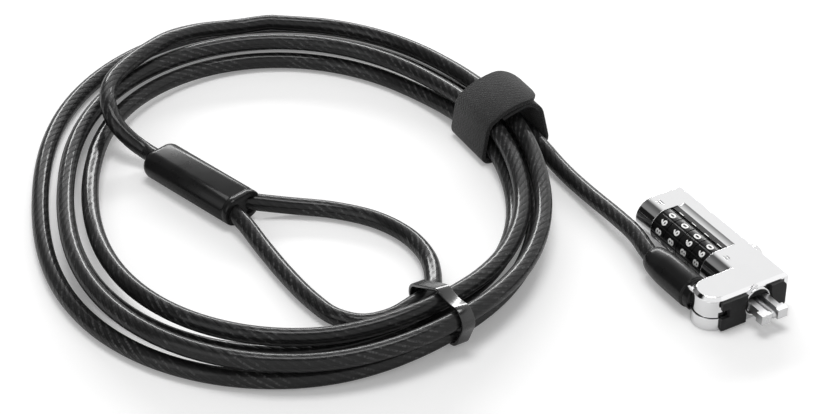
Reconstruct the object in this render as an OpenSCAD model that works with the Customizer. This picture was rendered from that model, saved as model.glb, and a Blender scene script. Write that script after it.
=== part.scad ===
// Laptop cable lock: a four-dial combination head that swings on the end of a coiled steel cable.
// The dial axis runs along Y, the lock tip points to -Y and the release button to +X.
// Sub-parts are drawn about the dial axis, and at_row() moves them so that the origin is
// on the floor below the middle of the lock's hard parts.

/* [Head] */
// Height of the head, which is also the diameter of its half-round dial side
head_h = 9.5; // [9.45:0.01:9.55]
// Length of the head from its front edge to its rear face
head_len = 43.6; // [43.4:0.1:44.4]
// Distance from the dial axis to the right-hand side
head_right = 9.5; // [9.45:0.05:9.8]
// Thickness of the top and bottom covers
cover_t = 1.2; // [1.15:0.01:1.2]
// Height of the slope cut along the front edge of the top
front_slope = 0.8; // [0.5:0.05:0.9]

/* [Dials] */
// Radius of a dial
dial_r = 4.6; // [4.5:0.02:4.6]
// Width of a dial
dial_w = 4.95; // [4.8:0.05:4.95]
// Distance from one dial to the next
dial_pitch = 5.22; // [5.2:0.01:5.22]
// Depth of the groove between two digits
dial_groove = 0.12; // [0.06:0.02:0.2]

/* [Lock tip] */
// How far the hooks stand out from the front edge
tip_reach = 7.35; // [7.1:0.05:7.5]
// Width across the feet of the two hooks
tip_foot_w = 7.8; // [7.6:0.05:7.9]
// Height of the hooks
tip_h = 2.6; // [2.4:0.05:2.7]
// Diameter of the pin between the hooks
pin_d = 1.85; // [1.6:0.05:1.85]

/* [Release button] */
// Diameter of the button
button_d = 5.4; // [5:0.1:5.4]
// Height of the button above the side of the head
button_proud = 3.45; // [3.2:0.05:3.6]

/* [Cable] */
// Diameter of the cable over its jacket
cable_d = 4.5; // [4.3:0.05:4.5]
// Mean radius of the coil
coil_r = 67.8; // [67.5:0.1:68]
// Length of the sleeve that closes the eye
eye_sleeve_l = 34; // [33:0.5:34]
// Width of the sleeve that closes the eye
eye_sleeve_w = 12.2; // [11.5:0.1:12.5]
// Height of the sleeve that closes the eye
eye_sleeve_h = 8.1; // [7.8:0.1:8.4]

/* [Strap and tie] */
// Width of the hook-and-loop strap
strap_w = 17.3; // [16:0.1:17.5]
// Thickness of the hook-and-loop strap
strap_t = 1.2; // [1.1:0.05:1.2]
// Width of the plastic tie
tie_w = 3.6; // [3.2:0.1:4]
// Thickness of the plastic tie
tie_t = 0.8; // [0.7:0.05:0.85]

/* [Hidden] */

// Circle smoothness for plain rounds, and for the circles inside a hull
fine = 96;
hull_fn = 32;
// A cut runs this far past the faces that it opens
past = 1;
// Gap around parts that slide or turn
run_gap = 0.06;

// Head
axis_z = head_h / 2;
roof_z = head_h - cover_t;
side_t = 1.2;
inner_right = head_right - side_t;
rear_wall = 1.3;
bore_r = axis_z - cover_t;
edge_cut = 0.65;
slope_z = head_h - front_slope;

// Dials: dial 1 is the rearmost, dial 4 the nearest to the tip
dial_count = 4;
digits = 10;
dial_front = 18.95;
window_y0 = 16.3;
window_y1 = 37.25;
bay_r = 4.85;
ring_bore_r = 3.35;
groove_r = 0.5;

// Index bar along the right edge of the dial window, and the ledge beside it
bar_x0 = 1.9;
bar_x1 = 3.5;
bar_low_z = 7.6;
bar_under_r = 4.7;
bar_drop = 0.2;
ledge_x = 4.6;
ledge_drop = 0.35;
ledge_fall = 0.3;
slope_x = 5.6;

// Engraved double marks on the flat top, before and behind the dials
mark_w = 0.25;
mark_depth = 0.1;
mark_l = 2.0;
mark_x = [0, 0.8];
mark_y = [11.9, 39.5];

// Spindle, its tube and the clutch hubs
tube_r = 2.15;
tube_bore_r = 1.72;
tube_y0 = 15.1;
tube_y1 = 41;
slot_half = 0.56;
slot_y0 = 17;
slot_y1 = 36.9;
shaft_r = 1.66;
rod_r = 0.75;
collar_r = 1.43;
collar_y = [4.9, 5.7];
shaft_y = [8.9, 34.2];
stub_r = 0.7;
stub_y = 36.9;
lug_r = 2.75;
lug_half = 0.5;
lug_y = [-1.55, -0.65];
hub_bore_r = 2.21;
chamber_r = 2.85;
hub_w = 4.8;
hub_web = 0.7;

// Wedge between the button and the spindle
wedge_t = 2;
wedge_slope = 1.25;
wedge_tip = [4.16, 9.6];
wedge_top_y = 14;
block_y = [9.6, 11.2, 12.2];
blade_x1 = 8.2;
blade_y0 = 8.6;

// Release button
button_y = 15.2;
button_inner_x = 7.7;
button_dome = 1.55;

// Hooks
hook_pivot = [2.1, 3.6];
hook_boss_r = 0.95;
hook_pin_r = 0.45;
hook_bore_r = 0.5;
neck_x = 3.05;
foot_l = 2.35;
neck_y = 4.4;
land = [0.98, 1];
relief_x = 1.4;
relief_y = [4.2, 1.3];
tail_outside = [[2.75, 5], [2.6, 8.2]];
tail_inside = [[1.33, 8.2], [1.48, 5.3], [1.48, 4.6]];
tip_side_gap = 0.6;
tip_top_gap = 0.2;

// Chassis
bulkhead_y = [15.1, 16.25];
rear_bulkhead_y = [37.35, 38.4];
rail_x = 7;
rail_y = 18.4;
sill_x = 4.95;
sill_z = 1.95;
bulkhead_x = 4.6;

// Front insert
insert_front = 1.2;
insert_back = 1;
insert_low_z = 0.4;
insert_top_z = 8.65;
insert_right = 8.3;
insert_round = 1.9;
wrap_r = [4.95, 5.95];
wrap_angle = 12;
notch_x = -8.9;
notch_z = [4, 6.4];
ring_r = 4.1;
ring_wall = 0.6;
ring_depth = 0.6;
pad_gap = 3.6;

// Detent spring
leaf_t = 0.25;
leaf_y = [18.05, 36.8];
leaf_z = [2.4, 7.1];
finger_z = [4.1, 5.4];
finger_half = 0.9;
finger_reach = 4.8;

// Spindle spring, drawn pressed against its rear seat
spring_y = [37.1, 40.3];
spring_mean_r = 1.36;
spring_wire_r = 0.22;
spring_turns = 5;
spring_steps = 12;

// Code-change screw in the rear face
screw_spigot_r = 1.2;
screw_flange_r = 2.4;
screw_head_r = 1.9;
screw_y = [40.4, 41.3, 42.2, 43.45];
screw_slot = [0.6, 0.5];

// Cover screws, put in from below
cover_screw_at = [[6.5, 5], [6, 40.4]];
cover_screw_r = 0.8;
cover_screw_head = [1.4, 0.7];
cover_screw_hex_r = 0.6;
cover_screw_top = 6;
boss_r = 1.5;

// Hinge: the knuckle turns between the upper and the lower ear
hinge_at = [-9.9, 4.75];
ear_r = 4.75;
low_ear_r = 4.9;
low_ear_z = 3.5;
hinge_pin_r = 1.2;
hinge_pin_z = [0.6, 8.9];
knuckle_r = 4.6;
knuckle_z = [3.7, 8.2];
neck = [-13.7, -8.5, 3.75, 8.15];

// Sleeve at the head's end of the cable
sleeve_x = -11.1;
sleeve_y = [9.8, 27.5];
sleeve_rear_r = 3.25;
sleeve_r = 4.3;
sleeve_swell_y = 20.5;
sleeve_edge = 0.4;
cuff_y = 8;
cuff_clear_r = 5.1;
spigot_r = 2;
ferrule_r = 3;
ferrule_y = [12, 20];

// The origin stands below the middle of the hard parts' outline
left_reach = sleeve_x - sleeve_r;
right_reach = head_right + button_proud;
middle = [(left_reach + right_reach) / 2, (head_len - tip_reach) / 2];

// Coil: the loops spiral in on the floor, climb, and spiral out again on top; the first
// loop is drawn in by start_inset where it begins, which fades over start_blend turns
coil_at = [-73.2, 103.9];
coil_turns = [0.045, 4.22];
coil_from = -17;
loop_steps = 24;
coil_sides = 6;
oval = [7, 70.7];
corner = [1.2, 85.8];
loop_pitch = 8;
pitch_side = [0.6, 118];
pitch_oval = [2, 57.2];
spiral_out = 1.22;
start_inset = 1.9;
start_blend = 0.4;
turn_back = 2.43;
upper_shift = [-0.9, -4.6];
// Turns between two points that give the coil's direction at its ends
nearby = 0.01;
layer_rise = cable_d + 0.7;
strap_lift = [1.75, -6.5, 35];
tie_lift = [1.25, -86, 30];

// Routes of the cable's free stretches
lead_route = [[-11.1, 20, 4.75], [-11.1, 27.5, 4.75], [-10.4, 31.5, 4.75], [-9.4, 35.5, 4.7],
    [-8.7, 40, 4.55], [-8.3, 45, 4.2], [-8, 50, 3.8], [-7.75, 56, 3.3], [-7.5, 62, 2.9],
    [-7.25, 69, 2.7], [-6.9, 76, 2.9], [-6.45, 83, 3.5], [-6.1, 90, 4.05]];
tail_route = [[-50.5, 177.2, 7.4], [-61.9, 178.2, 9], [-73, 174.9, 11.5], [-80.7, 171.3, 12.3],
    [-88.5, 167.4, 12.4], [-95.4, 162.6, 12.4], [-99.7, 157.4, 12.2], [-102.4, 151.3, 11.5],
    [-103, 146.2, 9.2], [-101.3, 141, 6.3], [-98.75, 136.6, 4.05], [-97.6, 132.3, 4.05]];
loop_route = [[-87.5, 103.1, 4.05], [-83, 100.2, 3.4], [-76.8, 96.3, 2.6], [-67.9, 89.3, 2.25],
    [-60.7, 80, 2.25], [-57.2, 69.5, 2.25], [-57.6, 59.3, 2.3], [-61.3, 50.5, 2.9],
    [-65.5, 44.9, 3.5], [-71.5, 42.9, 3.5], [-78.4, 42.1, 2.8], [-85, 44.2, 2.3],
    [-89.5, 49.8, 2.25], [-91.2, 58, 2.25], [-91.7, 70, 2.25], [-91.3, 84, 2.4],
    [-91.1, 94, 3.3], [-91.7, 101.8, 4.05]];
tube_sides = 8;
// Length of the straight piece on each side of the joint between two stretches
joint_reach = 3;

// Sleeve and crimp of the eye
eye_from = [-97.6, 132.3];
eye_turn = -75;
eye_round = 3;
crimp = [24, 8.6, 5.2];

// Strap, and the tie round the coil and the tip of the eye
strap_at = [-10.74, 97.6];
strap_turn = -2.7;
strap_rounds = [[-8.5, 2.6, 2.6], [6.55, 3.2, 3.2], [2.4, 9.9, 5.75], [-6.2, 9.2, 3.85]];
tab = [[-7, 12.6], [0.3, 14.8], [2.6, 15.2], [4.4, 15.35], [6.2, 14.9], [6.4, 16.1], [4.5, 16.6],
    [2.5, 16.65], [0.5, 16.4], [-2, 15.7], [-4.6, 14.6], [-7, 13]];
tie_x = -68;
tie_inner_r = 2.85;
tie_rounds = [[29, 3.65], [44.6, 3.65], [26.7, 8.7], [34.8, 8.7]];

function dial_y(i) = dial_front + (dial_count - i) * dial_pitch;
function unit(v) = v / norm(v);
function clamp(v) = min(1, max(0, v));
function ease(s) = s * s * (3 - 2 * s);
function wrap(a) = a - 360 * round(a / 360);
function bump(b, a) = let(d = abs(wrap(a - b[1]))) d < b[2] ? b[0] * (1 + cos(180 * d / b[2])) / 2 : 0;

// A point of the coil after t turns
function coil_point(t) =
    let(a = coil_from + 360 * t,
        climb = ease(clamp((t - turn_back) * 2 + 0.5)),
        step = t < turn_back ? spiral_out - t : spiral_out - 2 * turn_back + t,
        pitch = loop_pitch + pitch_side[0] * cos(a - pitch_side[1])
            + pitch_oval[0] * cos(2 * (a - pitch_oval[1])),
        r = coil_r + oval[0] * cos(2 * (a - oval[1])) + corner[0] * cos(3 * (a - corner[1]))
            + step * pitch - start_inset * (1 - ease(clamp(t / start_blend))))
    [coil_at[0] + upper_shift[0] * climb + r * cos(a),
     coil_at[1] + upper_shift[1] * climb + r * sin(a),
     cable_d / 2 + layer_rise * climb + bump(strap_lift, a) + bump(tie_lift, a)];

coil_steps = round(coil_turns[1] * loop_steps);
coil_step = (coil_turns[1] - coil_turns[0]) / coil_steps;
coil_loops = [for (i = [0 : coil_steps]) coil_point(coil_turns[0] + i * coil_step)];
coil_start_way = unit(coil_point(coil_turns[0] + nearby) - coil_loops[0]);
coil_end_way = unit(coil_loops[coil_steps] - coil_point(coil_turns[1] - nearby));
coil_start = coil_loops[0] - joint_reach * coil_start_way;
coil_end = coil_loops[coil_steps] + joint_reach * coil_end_way;
coil_route = concat([coil_start], coil_loops, [coil_end]);

// Distance from p to the straight piece between a and b
function to_piece(p, a, b) = let(w = b - a, u = clamp((p - a) * w / (w * w))) norm(p - a - u * w);

// Least gap between one loop of the coil and the others
function least_gap(route, skip) = min([for (i = [0 : len(route) - 1 - skip])
    for (j = [i + skip : len(route) - 2]) to_piece(route[i], route[j], route[j + 1])]) - cable_d;

// Direction of a route at its point i, and the ring of a tube there
function way(route, i) = unit(route[min(i + 1, len(route) - 1)] - route[max(i - 1, 0)]);
function ring_at(p, t, r, n) = let(side = unit([-t[1], t[0], 0]), up = cross(t, side))
    [for (k = [0 : n - 1]) p + r * (cos(360 * k / n) * up - sin(360 * k / n) * side)];

// One closed tube of n sides along a route
module tube(route, r, n) {
    rings = len(route);
    points = [for (i = [0 : rings - 1]) each ring_at(route[i], way(route, i), r, n)];
    sides = [for (i = [0 : rings - 2]) for (k = [0 : n - 1]) let(m = (k + 1) % n, b = i * n, c = b + n)
        each [[b + k, c + k, c + m], [b + k, c + m, b + m]]];
    first = [[for (k = [0 : n - 1]) k]];
    last = [[for (k = [n - 1 : -1 : 0]) (rings - 1) * n + k]];
    polyhedron(points, concat(sides, first, last));
}

module at_row() {
    translate([-middle[0], -middle[1], 0]) children();
}

// Extrudes an X-Z outline along Y from y0 to y1
module along_y(y0, y1) {
    translate([0, y1, 0]) rotate([90, 0, 0]) linear_extrude(y1 - y0) children();
}

// Turns an outline of [radius, y] points about the dial axis
module round_y(outline) {
    translate([0, 0, axis_z]) rotate([-90, 0, 0]) rotate_extrude($fn = fine) polygon(outline);
}

// Straight round rod or bore along Y at x, z
module rod_y(x, z, r, y0, y1) {
    translate([x, y1, z]) rotate([90, 0, 0]) cylinder(h = y1 - y0, r = r, $fn = fine);
}

// Straight round rod or bore along Z
module rod_z(at, r, z0, z1) {
    translate([at[0], at[1], z0]) cylinder(h = z1 - z0, r = r, $fn = fine);
}

module block(x0, x1, y0, y1, z0, z1) {
    translate([x0, y0, z0]) cube([x1 - x0, y1 - y0, z1 - z0]);
}

// Head seen from the front: half-round on the left, square with cut corners on the right
module head_outline() {
    translate([0, axis_z]) circle(r = axis_z, $fn = fine);
    polygon([[0, 0], [head_right - edge_cut, 0], [head_right, edge_cut],
        [head_right, head_h - edge_cut], [head_right - edge_cut, head_h], [0, head_h]]);
}

// Hollow of the head seen from the front, out to x on the right
module hollow_outline(x) {
    translate([0, axis_z]) circle(r = bore_r, $fn = fine);
    translate([0, cover_t]) square([x, roof_z - cover_t]);
}

// Upper ear with its arm, sloped along the edges
module upper_ear() {
    back = hinge_at[1] + ear_r;
    translate([hinge_at[0], 0, 0]) rotate([90, 0, 90]) linear_extrude(-hinge_at[0])
        polygon([[0, roof_z], [back, roof_z], [back, slope_z], [back - front_slope, head_h],
            [front_slope, head_h], [0, slope_z]]);
    rod_z(hinge_at, ear_r, roof_z, slope_z);
    translate([hinge_at[0], hinge_at[1], slope_z])
        cylinder(h = front_slope, r1 = ear_r, r2 = ear_r - front_slope, $fn = fine);
}

// Lower ear with its arm, cut away where the upper cover's round side comes down
module lower_ear() {
    difference() {
        block(hinge_at[0], 0, 0, hinge_at[1] + ear_r, 0, low_ear_z);
        rod_y(0, axis_z, axis_z, -past, head_len);
    }
    rod_z(hinge_at, low_ear_r, 0, low_ear_z);
}

// Everything that is cut out of both covers
module head_hollow() {
    along_y(-past, head_len - rear_wall) hollow_outline(inner_right);
    rod_y(0, axis_z, bay_r, window_y0, window_y1);
    block(-head_h, bar_x1, window_y0, window_y1, -past, head_h + past);
    rod_y(0, axis_z, screw_head_r + run_gap, head_len - rear_wall - past, head_len + past);
    rod_z(hinge_at, hinge_pin_r, hinge_pin_z[0], hinge_pin_z[1]);
}

module top_cover() {
    color("gainsboro") at_row() {
        difference() {
            union() {
                intersection() {
                    along_y(0, head_len) head_outline();
                    block(-head_h, head_right, 0, head_len, cover_t, head_h);
                }
                upper_ear();
            }
            head_hollow();
            rotate([90, 0, 90]) linear_extrude(head_right + past)
                polygon([[-past, slope_z - past], [front_slope + past, head_h + past],
                    [-past, head_h + past]]);
            translate([inner_right - past, button_y, axis_z]) rotate([0, 90, 0])
                cylinder(h = side_t + 2 * past, r = button_d / 2 + run_gap, $fn = fine);
            along_y(window_y0, window_y1)
                polygon([[bar_x1 - past, head_h - ledge_drop - ledge_fall], [ledge_x, head_h - ledge_drop],
                    [slope_x, head_h], [slope_x, head_h + past], [bar_x1 - past, head_h + past]]);
            for (x = mark_x)
                for (y = mark_y)
                    block(x - mark_w / 2, x + mark_w / 2, y, y + mark_l, head_h - mark_depth, head_h + past);
        }
        for (p = cover_screw_at)
            difference() {
                rod_z(p, boss_r, cover_t, roof_z);
                rod_z(p, cover_screw_r, cover_t - past, cover_screw_top);
            }
    }
}

module bottom_cover() {
    color("silver") at_row() difference() {
        union() {
            intersection() {
                along_y(0, head_len) head_outline();
                block(-head_h, head_right, 0, head_len, 0, cover_t);
            }
            lower_ear();
        }
        head_hollow();
        for (p = cover_screw_at) {
            rod_z(p, cover_screw_r, -past, cover_t + past);
            rod_z(p, cover_screw_head[0], -past, cover_screw_head[1]);
        }
    }
}

// Frame that carries the spindle tube and the detent spring
module chassis() {
    color("darkgray") at_row() difference() {
        union() {
            along_y(bulkhead_y[0], bulkhead_y[1]) hollow_outline(bulkhead_x);
            along_y(rear_bulkhead_y[0], rear_bulkhead_y[1]) hollow_outline(inner_right);
            block(0, inner_right, bulkhead_y[0], bulkhead_y[1], cover_t, sill_z);
            block(sill_x, inner_right, bulkhead_y[0], rear_bulkhead_y[1], cover_t, sill_z);
            block(rail_x, inner_right, rail_y, rear_bulkhead_y[1], cover_t, roof_z);
        }
        rod_y(0, axis_z, tube_r, bulkhead_y[0] - past, rear_bulkhead_y[1] + past);
    }
}

// Right-hand pad of the insert, with its outer corners rounded
module insert_right_outline() {
    r = insert_round;
    square_x = insert_right - r;
    translate([0, insert_low_z]) square([square_x, insert_top_z - insert_low_z]);
    translate([square_x - past, insert_low_z + r]) square([r + past, insert_top_z - insert_low_z - 2 * r]);
    for (z = [insert_low_z + r, insert_top_z - r])
        translate([square_x, z]) circle(r = r, $fn = fine);
}

module front_insert() {
    color("dimgray") at_row() difference() {
        union() {
            along_y(0, insert_back) hollow_outline(inner_right);
            along_y(-insert_front, 0) insert_right_outline();
            block(hinge_at[0], 0, -insert_front, 0, insert_low_z, insert_top_z);
            translate([hinge_at[0], hinge_at[1], insert_low_z]) linear_extrude(insert_top_z - insert_low_z)
                intersection() {
                    difference() {
                        circle(r = wrap_r[1], $fn = fine);
                        circle(r = wrap_r[0], $fn = fine);
                    }
                    polygon([[0, 0], [0, -head_h], [-head_h * tan(wrap_angle), -head_h]]);
                }
        }
        rod_y(0, axis_z, ring_r, -insert_front - past, 0);
        block(-pad_gap, pad_gap, -insert_front - past, 0, 0, head_h);
        rod_z(hinge_at, wrap_r[0], 0, head_h);
        block(-neck_x - tip_side_gap, neck_x + tip_side_gap, -past, insert_back + past,
            axis_z - tip_h / 2 - tip_top_gap, axis_z + tip_h / 2 + tip_top_gap);
        block(-head_len, notch_x, -head_h, head_h, notch_z[0], notch_z[1]);
    }
}

module nose_ring() {
    color("white") at_row() difference() {
        rod_y(0, axis_z, ring_r, -ring_depth, 0);
        rod_y(0, axis_z, ring_r - ring_wall, -ring_depth - past, past);
    }
}

module index_bar() {
    color("black") at_row() difference() {
        block(bar_x0, bar_x1, window_y0, window_y1, bar_low_z, head_h - bar_drop);
        rod_y(0, axis_z, bar_under_r, window_y0 - past, window_y1 + past);
    }
}

// Numbered ring with a shallow groove between one digit and the next
module dial_wheel(i) {
    y0 = dial_y(i) - dial_w / 2;
    y1 = dial_y(i) + dial_w / 2;
    color([0.12, 0.12, 0.12]) at_row() difference() {
        rod_y(0, axis_z, dial_r, y0, y1);
        rod_y(0, axis_z, ring_bore_r, y0 - past, y1 + past);
        for (k = [0 : digits - 1]) {
            a = (k + 0.5) * 360 / digits;
            rod_y((dial_r + groove_r - dial_groove) * sin(a),
                axis_z + (dial_r + groove_r - dial_groove) * cos(a), groove_r, y0 - past, y1 + past);
        }
    }
}

// Hub inside a dial: a web with one gate, and the chamber that the spindle's lug moves in
module clutch_hub(i) {
    y0 = dial_y(i) - hub_w / 2;
    y1 = dial_y(i) + hub_w / 2;
    color("goldenrod") at_row() difference() {
        rod_y(0, axis_z, ring_bore_r, y0, y1);
        rod_y(0, axis_z, hub_bore_r, y0 - past, y1 + past);
        rod_y(0, axis_z, chamber_r, y0 + hub_web, y1 + past);
        block(0, chamber_r, y0 - past, y1, axis_z - slot_half, axis_z + slot_half);
    }
}

module spindle_tube() {
    color("burlywood") at_row() difference() {
        rod_y(0, axis_z, tube_r, tube_y0, tube_y1);
        rod_y(0, axis_z, tube_bore_r, tube_y0 - past, tube_y1 + past);
        block(0, tube_r + past, slot_y0, slot_y1, axis_z - slot_half, axis_z + slot_half);
    }
}

// Pin, collar, shaft and stub in one piece, with a lug for each dial and the wedge's block
module locking_spindle() {
    pin_r = pin_d / 2;
    tip = [for (a = [0 : 15 : 90]) [pin_r * sin(a), pin_r * (1 - cos(a)) - tip_reach]];
    block_edge = [for (y = [block_y[0], block_y[1]])
        [wedge_tip[0] + (y - wedge_tip[1]) / wedge_slope - run_gap, y]];
    color("lightsteelblue") at_row() {
        round_y(concat(tip, [[pin_r, collar_y[0]], [collar_r, collar_y[0]], [collar_r, collar_y[1]],
            [rod_r, collar_y[1]], [rod_r, shaft_y[0]], [shaft_r, shaft_y[0]], [shaft_r, shaft_y[1]],
            [stub_r, shaft_y[1]], [stub_r, stub_y], [0, stub_y]]));
        for (i = [1 : dial_count])
            intersection() {
                block(0, lug_r, dial_y(i) + lug_y[0], dial_y(i) + lug_y[1],
                    axis_z - lug_half, axis_z + lug_half);
                rod_y(0, axis_z, lug_r, dial_y(i) - dial_w, dial_y(i) + dial_w);
            }
        translate([0, 0, axis_z - wedge_t / 2]) linear_extrude(wedge_t)
            polygon([[0, block_y[0]], block_edge[0], block_edge[1], [block_edge[1][0], block_y[2]],
                [0, block_y[2]]]);
    }
}

module spindle_spring() {
    steps = spring_turns * spring_steps;
    length = spring_y[1] - spring_y[0] - 2 * spring_wire_r;
    helix = [for (k = [0 : steps]) [spring_mean_r * cos(360 * k / spring_steps),
        spring_mean_r * sin(360 * k / spring_steps), spring_wire_r + length * k / steps]];
    color("slategray") at_row() translate([0, spring_y[0], axis_z]) rotate([-90, 0, 0])
        tube(helix, spring_wire_r, tube_sides);
}

// Leaf along the rail with a bent finger for each dial
module detent_spring() {
    x1 = rail_x - leaf_t;
    color("lightgray") at_row() {
        block(x1, rail_x, leaf_y[0], leaf_y[1], leaf_z[0], leaf_z[1]);
        for (i = [1 : dial_count])
            translate([0, dial_y(i), finger_z[0]]) linear_extrude(finger_z[1] - finger_z[0])
                polygon([[x1, -finger_half], [finger_reach, -leaf_t], [finger_reach, leaf_t],
                    [x1, finger_half], [x1, finger_half - leaf_t], [finger_reach + leaf_t, 0],
                    [x1, leaf_t - finger_half]]);
    }
}

// Right-hand hook: foot and neck outside, boss on the pivot, and the tail beside the collar
module hook() {
    tip_y = -tip_reach;
    foot_x = tip_foot_w / 2;
    difference() {
        translate([0, 0, axis_z - tip_h / 2]) linear_extrude(tip_h) {
            polygon(concat([[land[0], tip_y], [foot_x, tip_y], [foot_x, tip_y + foot_l],
                [neck_x, tip_y + foot_l], [neck_x, neck_y]], tail_outside, tail_inside,
                [[relief_x, relief_y[0]], [relief_x, tip_y + relief_y[1]], [land[0], tip_y + land[1]]]));
            translate(hook_pivot) circle(r = hook_boss_r, $fn = fine);
        }
        rod_z(hook_pivot, hook_bore_r, 0, head_h);
    }
}

module hook_right() {
    color("lightgray") at_row() hook();
}

module hook_left() {
    color("lightgray") at_row() mirror([1, 0, 0]) hook();
}

// Two pins that end on the covers' inner faces
module hook_pivot_pins() {
    color("gray") at_row() intersection() {
        for (s = [-1, 1])
            rod_z([s * hook_pivot[0], hook_pivot[1]], hook_pin_r, cover_t, roof_z);
        along_y(0, head_len) hollow_outline(inner_right);
    }
}

// Domed button with the blade that pushes the spindle back
module release_button() {
    r = button_d / 2;
    tip_x = head_right + button_proud;
    dome = [for (a = [0 : 10 : 90]) [r * cos(a), tip_x - button_dome + button_dome * sin(a)]];
    blade_top_x = wedge_tip[0] + (wedge_top_y - wedge_tip[1]) / wedge_slope;
    color("whitesmoke") at_row() {
        translate([0, button_y, axis_z]) rotate([0, 90, 0]) rotate_extrude($fn = fine)
            polygon(concat([[0, button_inner_x], [r, button_inner_x]], dome));
        translate([0, 0, axis_z - wedge_t / 2]) linear_extrude(wedge_t)
            polygon([wedge_tip, [wedge_tip[0], blade_y0], [blade_x1, blade_y0], [blade_x1, wedge_top_y],
                [blade_top_x, wedge_top_y]]);
    }
}

module code_change_screw() {
    color("gray") at_row() difference() {
        round_y([[0, screw_y[0]], [screw_spigot_r, screw_y[0]], [screw_spigot_r, screw_y[1]],
            [screw_flange_r, screw_y[1]], [screw_flange_r, screw_y[2]], [screw_head_r, screw_y[2]],
            [screw_head_r, screw_y[3]], [0, screw_y[3]]]);
        block(-screw_head_r, screw_head_r, screw_y[3] - screw_slot[1], screw_y[3] + past,
            axis_z - screw_slot[0] / 2, axis_z + screw_slot[0] / 2);
    }
}

module cover_screws() {
    color("dimgray") at_row() for (p = cover_screw_at)
        difference() {
            union() {
                rod_z(p, cover_screw_head[0], 0, cover_screw_head[1]);
                rod_z(p, cover_screw_r, cover_screw_head[1], cover_screw_top);
            }
            translate([p[0], p[1], -past]) cylinder(h = past + cover_screw_head[1] / 2,
                r = cover_screw_hex_r, $fn = 6);
        }
}

module hinge_pin() {
    color("gray") at_row() rod_z(hinge_at, hinge_pin_r, hinge_pin_z[0], hinge_pin_z[1]);
}

// End fitting of the cable: a drum on the hinge pin, a neck and a spigot into the sleeve
module cable_knuckle() {
    color("gainsboro") at_row() difference() {
        union() {
            rod_z(hinge_at, knuckle_r, knuckle_z[0], knuckle_z[1]);
            block(neck[0], neck[1], hinge_at[1], sleeve_y[0], neck[2], neck[3]);
            rod_y(sleeve_x, axis_z, spigot_r, sleeve_y[0], ferrule_y[0]);
        }
        rod_z(hinge_at, hinge_pin_r + run_gap, 0, head_h);
    }
}

// Sleeve with a cuff on its outer side that follows the hinge's ears
module cable_sleeve() {
    outline = [[0, sleeve_y[0]], [sleeve_r - sleeve_edge, sleeve_y[0]],
        [sleeve_r, sleeve_y[0] + 2 * sleeve_edge], [sleeve_r, sleeve_swell_y],
        [sleeve_rear_r + sleeve_edge, sleeve_y[1] - past], [sleeve_rear_r, sleeve_y[1]], [0, sleeve_y[1]]];
    color([0.1, 0.1, 0.1]) at_row() difference() {
        union() {
            translate([sleeve_x, 0, 0]) round_y(outline);
            difference() {
                rod_y(sleeve_x, axis_z, sleeve_r - sleeve_edge, cuff_y, sleeve_y[0] + past);
                block(hinge_at[0], 0, 0, head_len, 0, head_h);
                rod_z(hinge_at, cuff_clear_r, 0, head_h);
            }
        }
        block(neck[0], neck[1], hinge_at[1], sleeve_y[0], neck[2], neck[3]);
        rod_y(sleeve_x, axis_z, spigot_r, sleeve_y[0] - past, ferrule_y[0]);
        rod_y(sleeve_x, axis_z, ferrule_r, ferrule_y[0], ferrule_y[1]);
        rod_y(sleeve_x, axis_z, cable_d / 2 + run_gap, ferrule_y[1], sleeve_y[1] + past);
    }
}

module cable_ferrule() {
    color("darkgray") at_row() rod_y(sleeve_x, axis_z, ferrule_r, ferrule_y[0], ferrule_y[1]);
}

module cable_lead() {
    route = concat(lead_route, [coil_start - joint_reach * coil_start_way, coil_start]);
    color([0.15, 0.15, 0.15]) at_row() tube(route, cable_d / 2, tube_sides);
}

module cable_coil() {
    echo(least_gap = least_gap(coil_route, loop_steps / 2), rings = len(coil_route));
    color([0.15, 0.15, 0.15]) at_row() tube(coil_route, cable_d / 2, coil_sides);
}

module cable_tail() {
    route = concat([coil_end, coil_end + joint_reach * coil_end_way], tail_route);
    color([0.15, 0.15, 0.15]) at_row() tube(route, cable_d / 2, tube_sides);
}

// Places a shape drawn along +X from the rear end of the eye's sleeve
module at_eye() {
    translate([eye_from[0], eye_from[1], eye_sleeve_h / 2]) rotate([0, 0, eye_turn]) children();
}

// Flat-sided oval bar of width w and height h, from x0 to x1
module oval_bar(x0, x1, w, h) {
    translate([x0, 0, 0]) rotate([90, 0, 90]) linear_extrude(x1 - x0) {
        square([w - h, h], center = true);
        for (s = [-1, 1])
            translate([s * (w - h) / 2, 0]) circle(d = h, $fn = fine);
    }
}

module eye_sleeve() {
    color([0.1, 0.1, 0.1]) at_row() at_eye() difference() {
        oval_bar(0, eye_sleeve_l, eye_sleeve_w, eye_sleeve_h);
        oval_bar(eye_round, eye_round + crimp[0], crimp[1], crimp[2]);
    }
}

module eye_crimp() {
    color("darkgray") at_row() at_eye() oval_bar(eye_round, eye_round + crimp[0], crimp[1], crimp[2]);
}

module eye_loop() {
    color([0.15, 0.15, 0.15]) at_row() difference() {
        tube(loop_route, cable_d / 2, tube_sides);
        at_eye() oval_bar(0, eye_sleeve_l, eye_sleeve_w, eye_sleeve_h);
    }
}

// Rounded loop of the strap seen along its width, drawn in by inset
module strap_outline(inset) {
    hull() for (c = strap_rounds)
        translate([c[0], c[1]]) circle(r = c[2] - inset, $fn = hull_fn);
}

module coil_strap() {
    color([0.2, 0.2, 0.2]) at_row() translate([strap_at[0], strap_at[1], 0]) rotate([0, 0, strap_turn])
        along_y(-strap_w / 2, strap_w / 2) {
            difference() {
                strap_outline(0);
                strap_outline(strap_t);
            }
            polygon(tab);
        }
}

// Outline of the tie, at r from the middle of each strand that it goes round
module tie_outline(r) {
    hull() for (c = tie_rounds)
        translate([c[0], c[1]]) circle(r = r, $fn = hull_fn);
}

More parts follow.
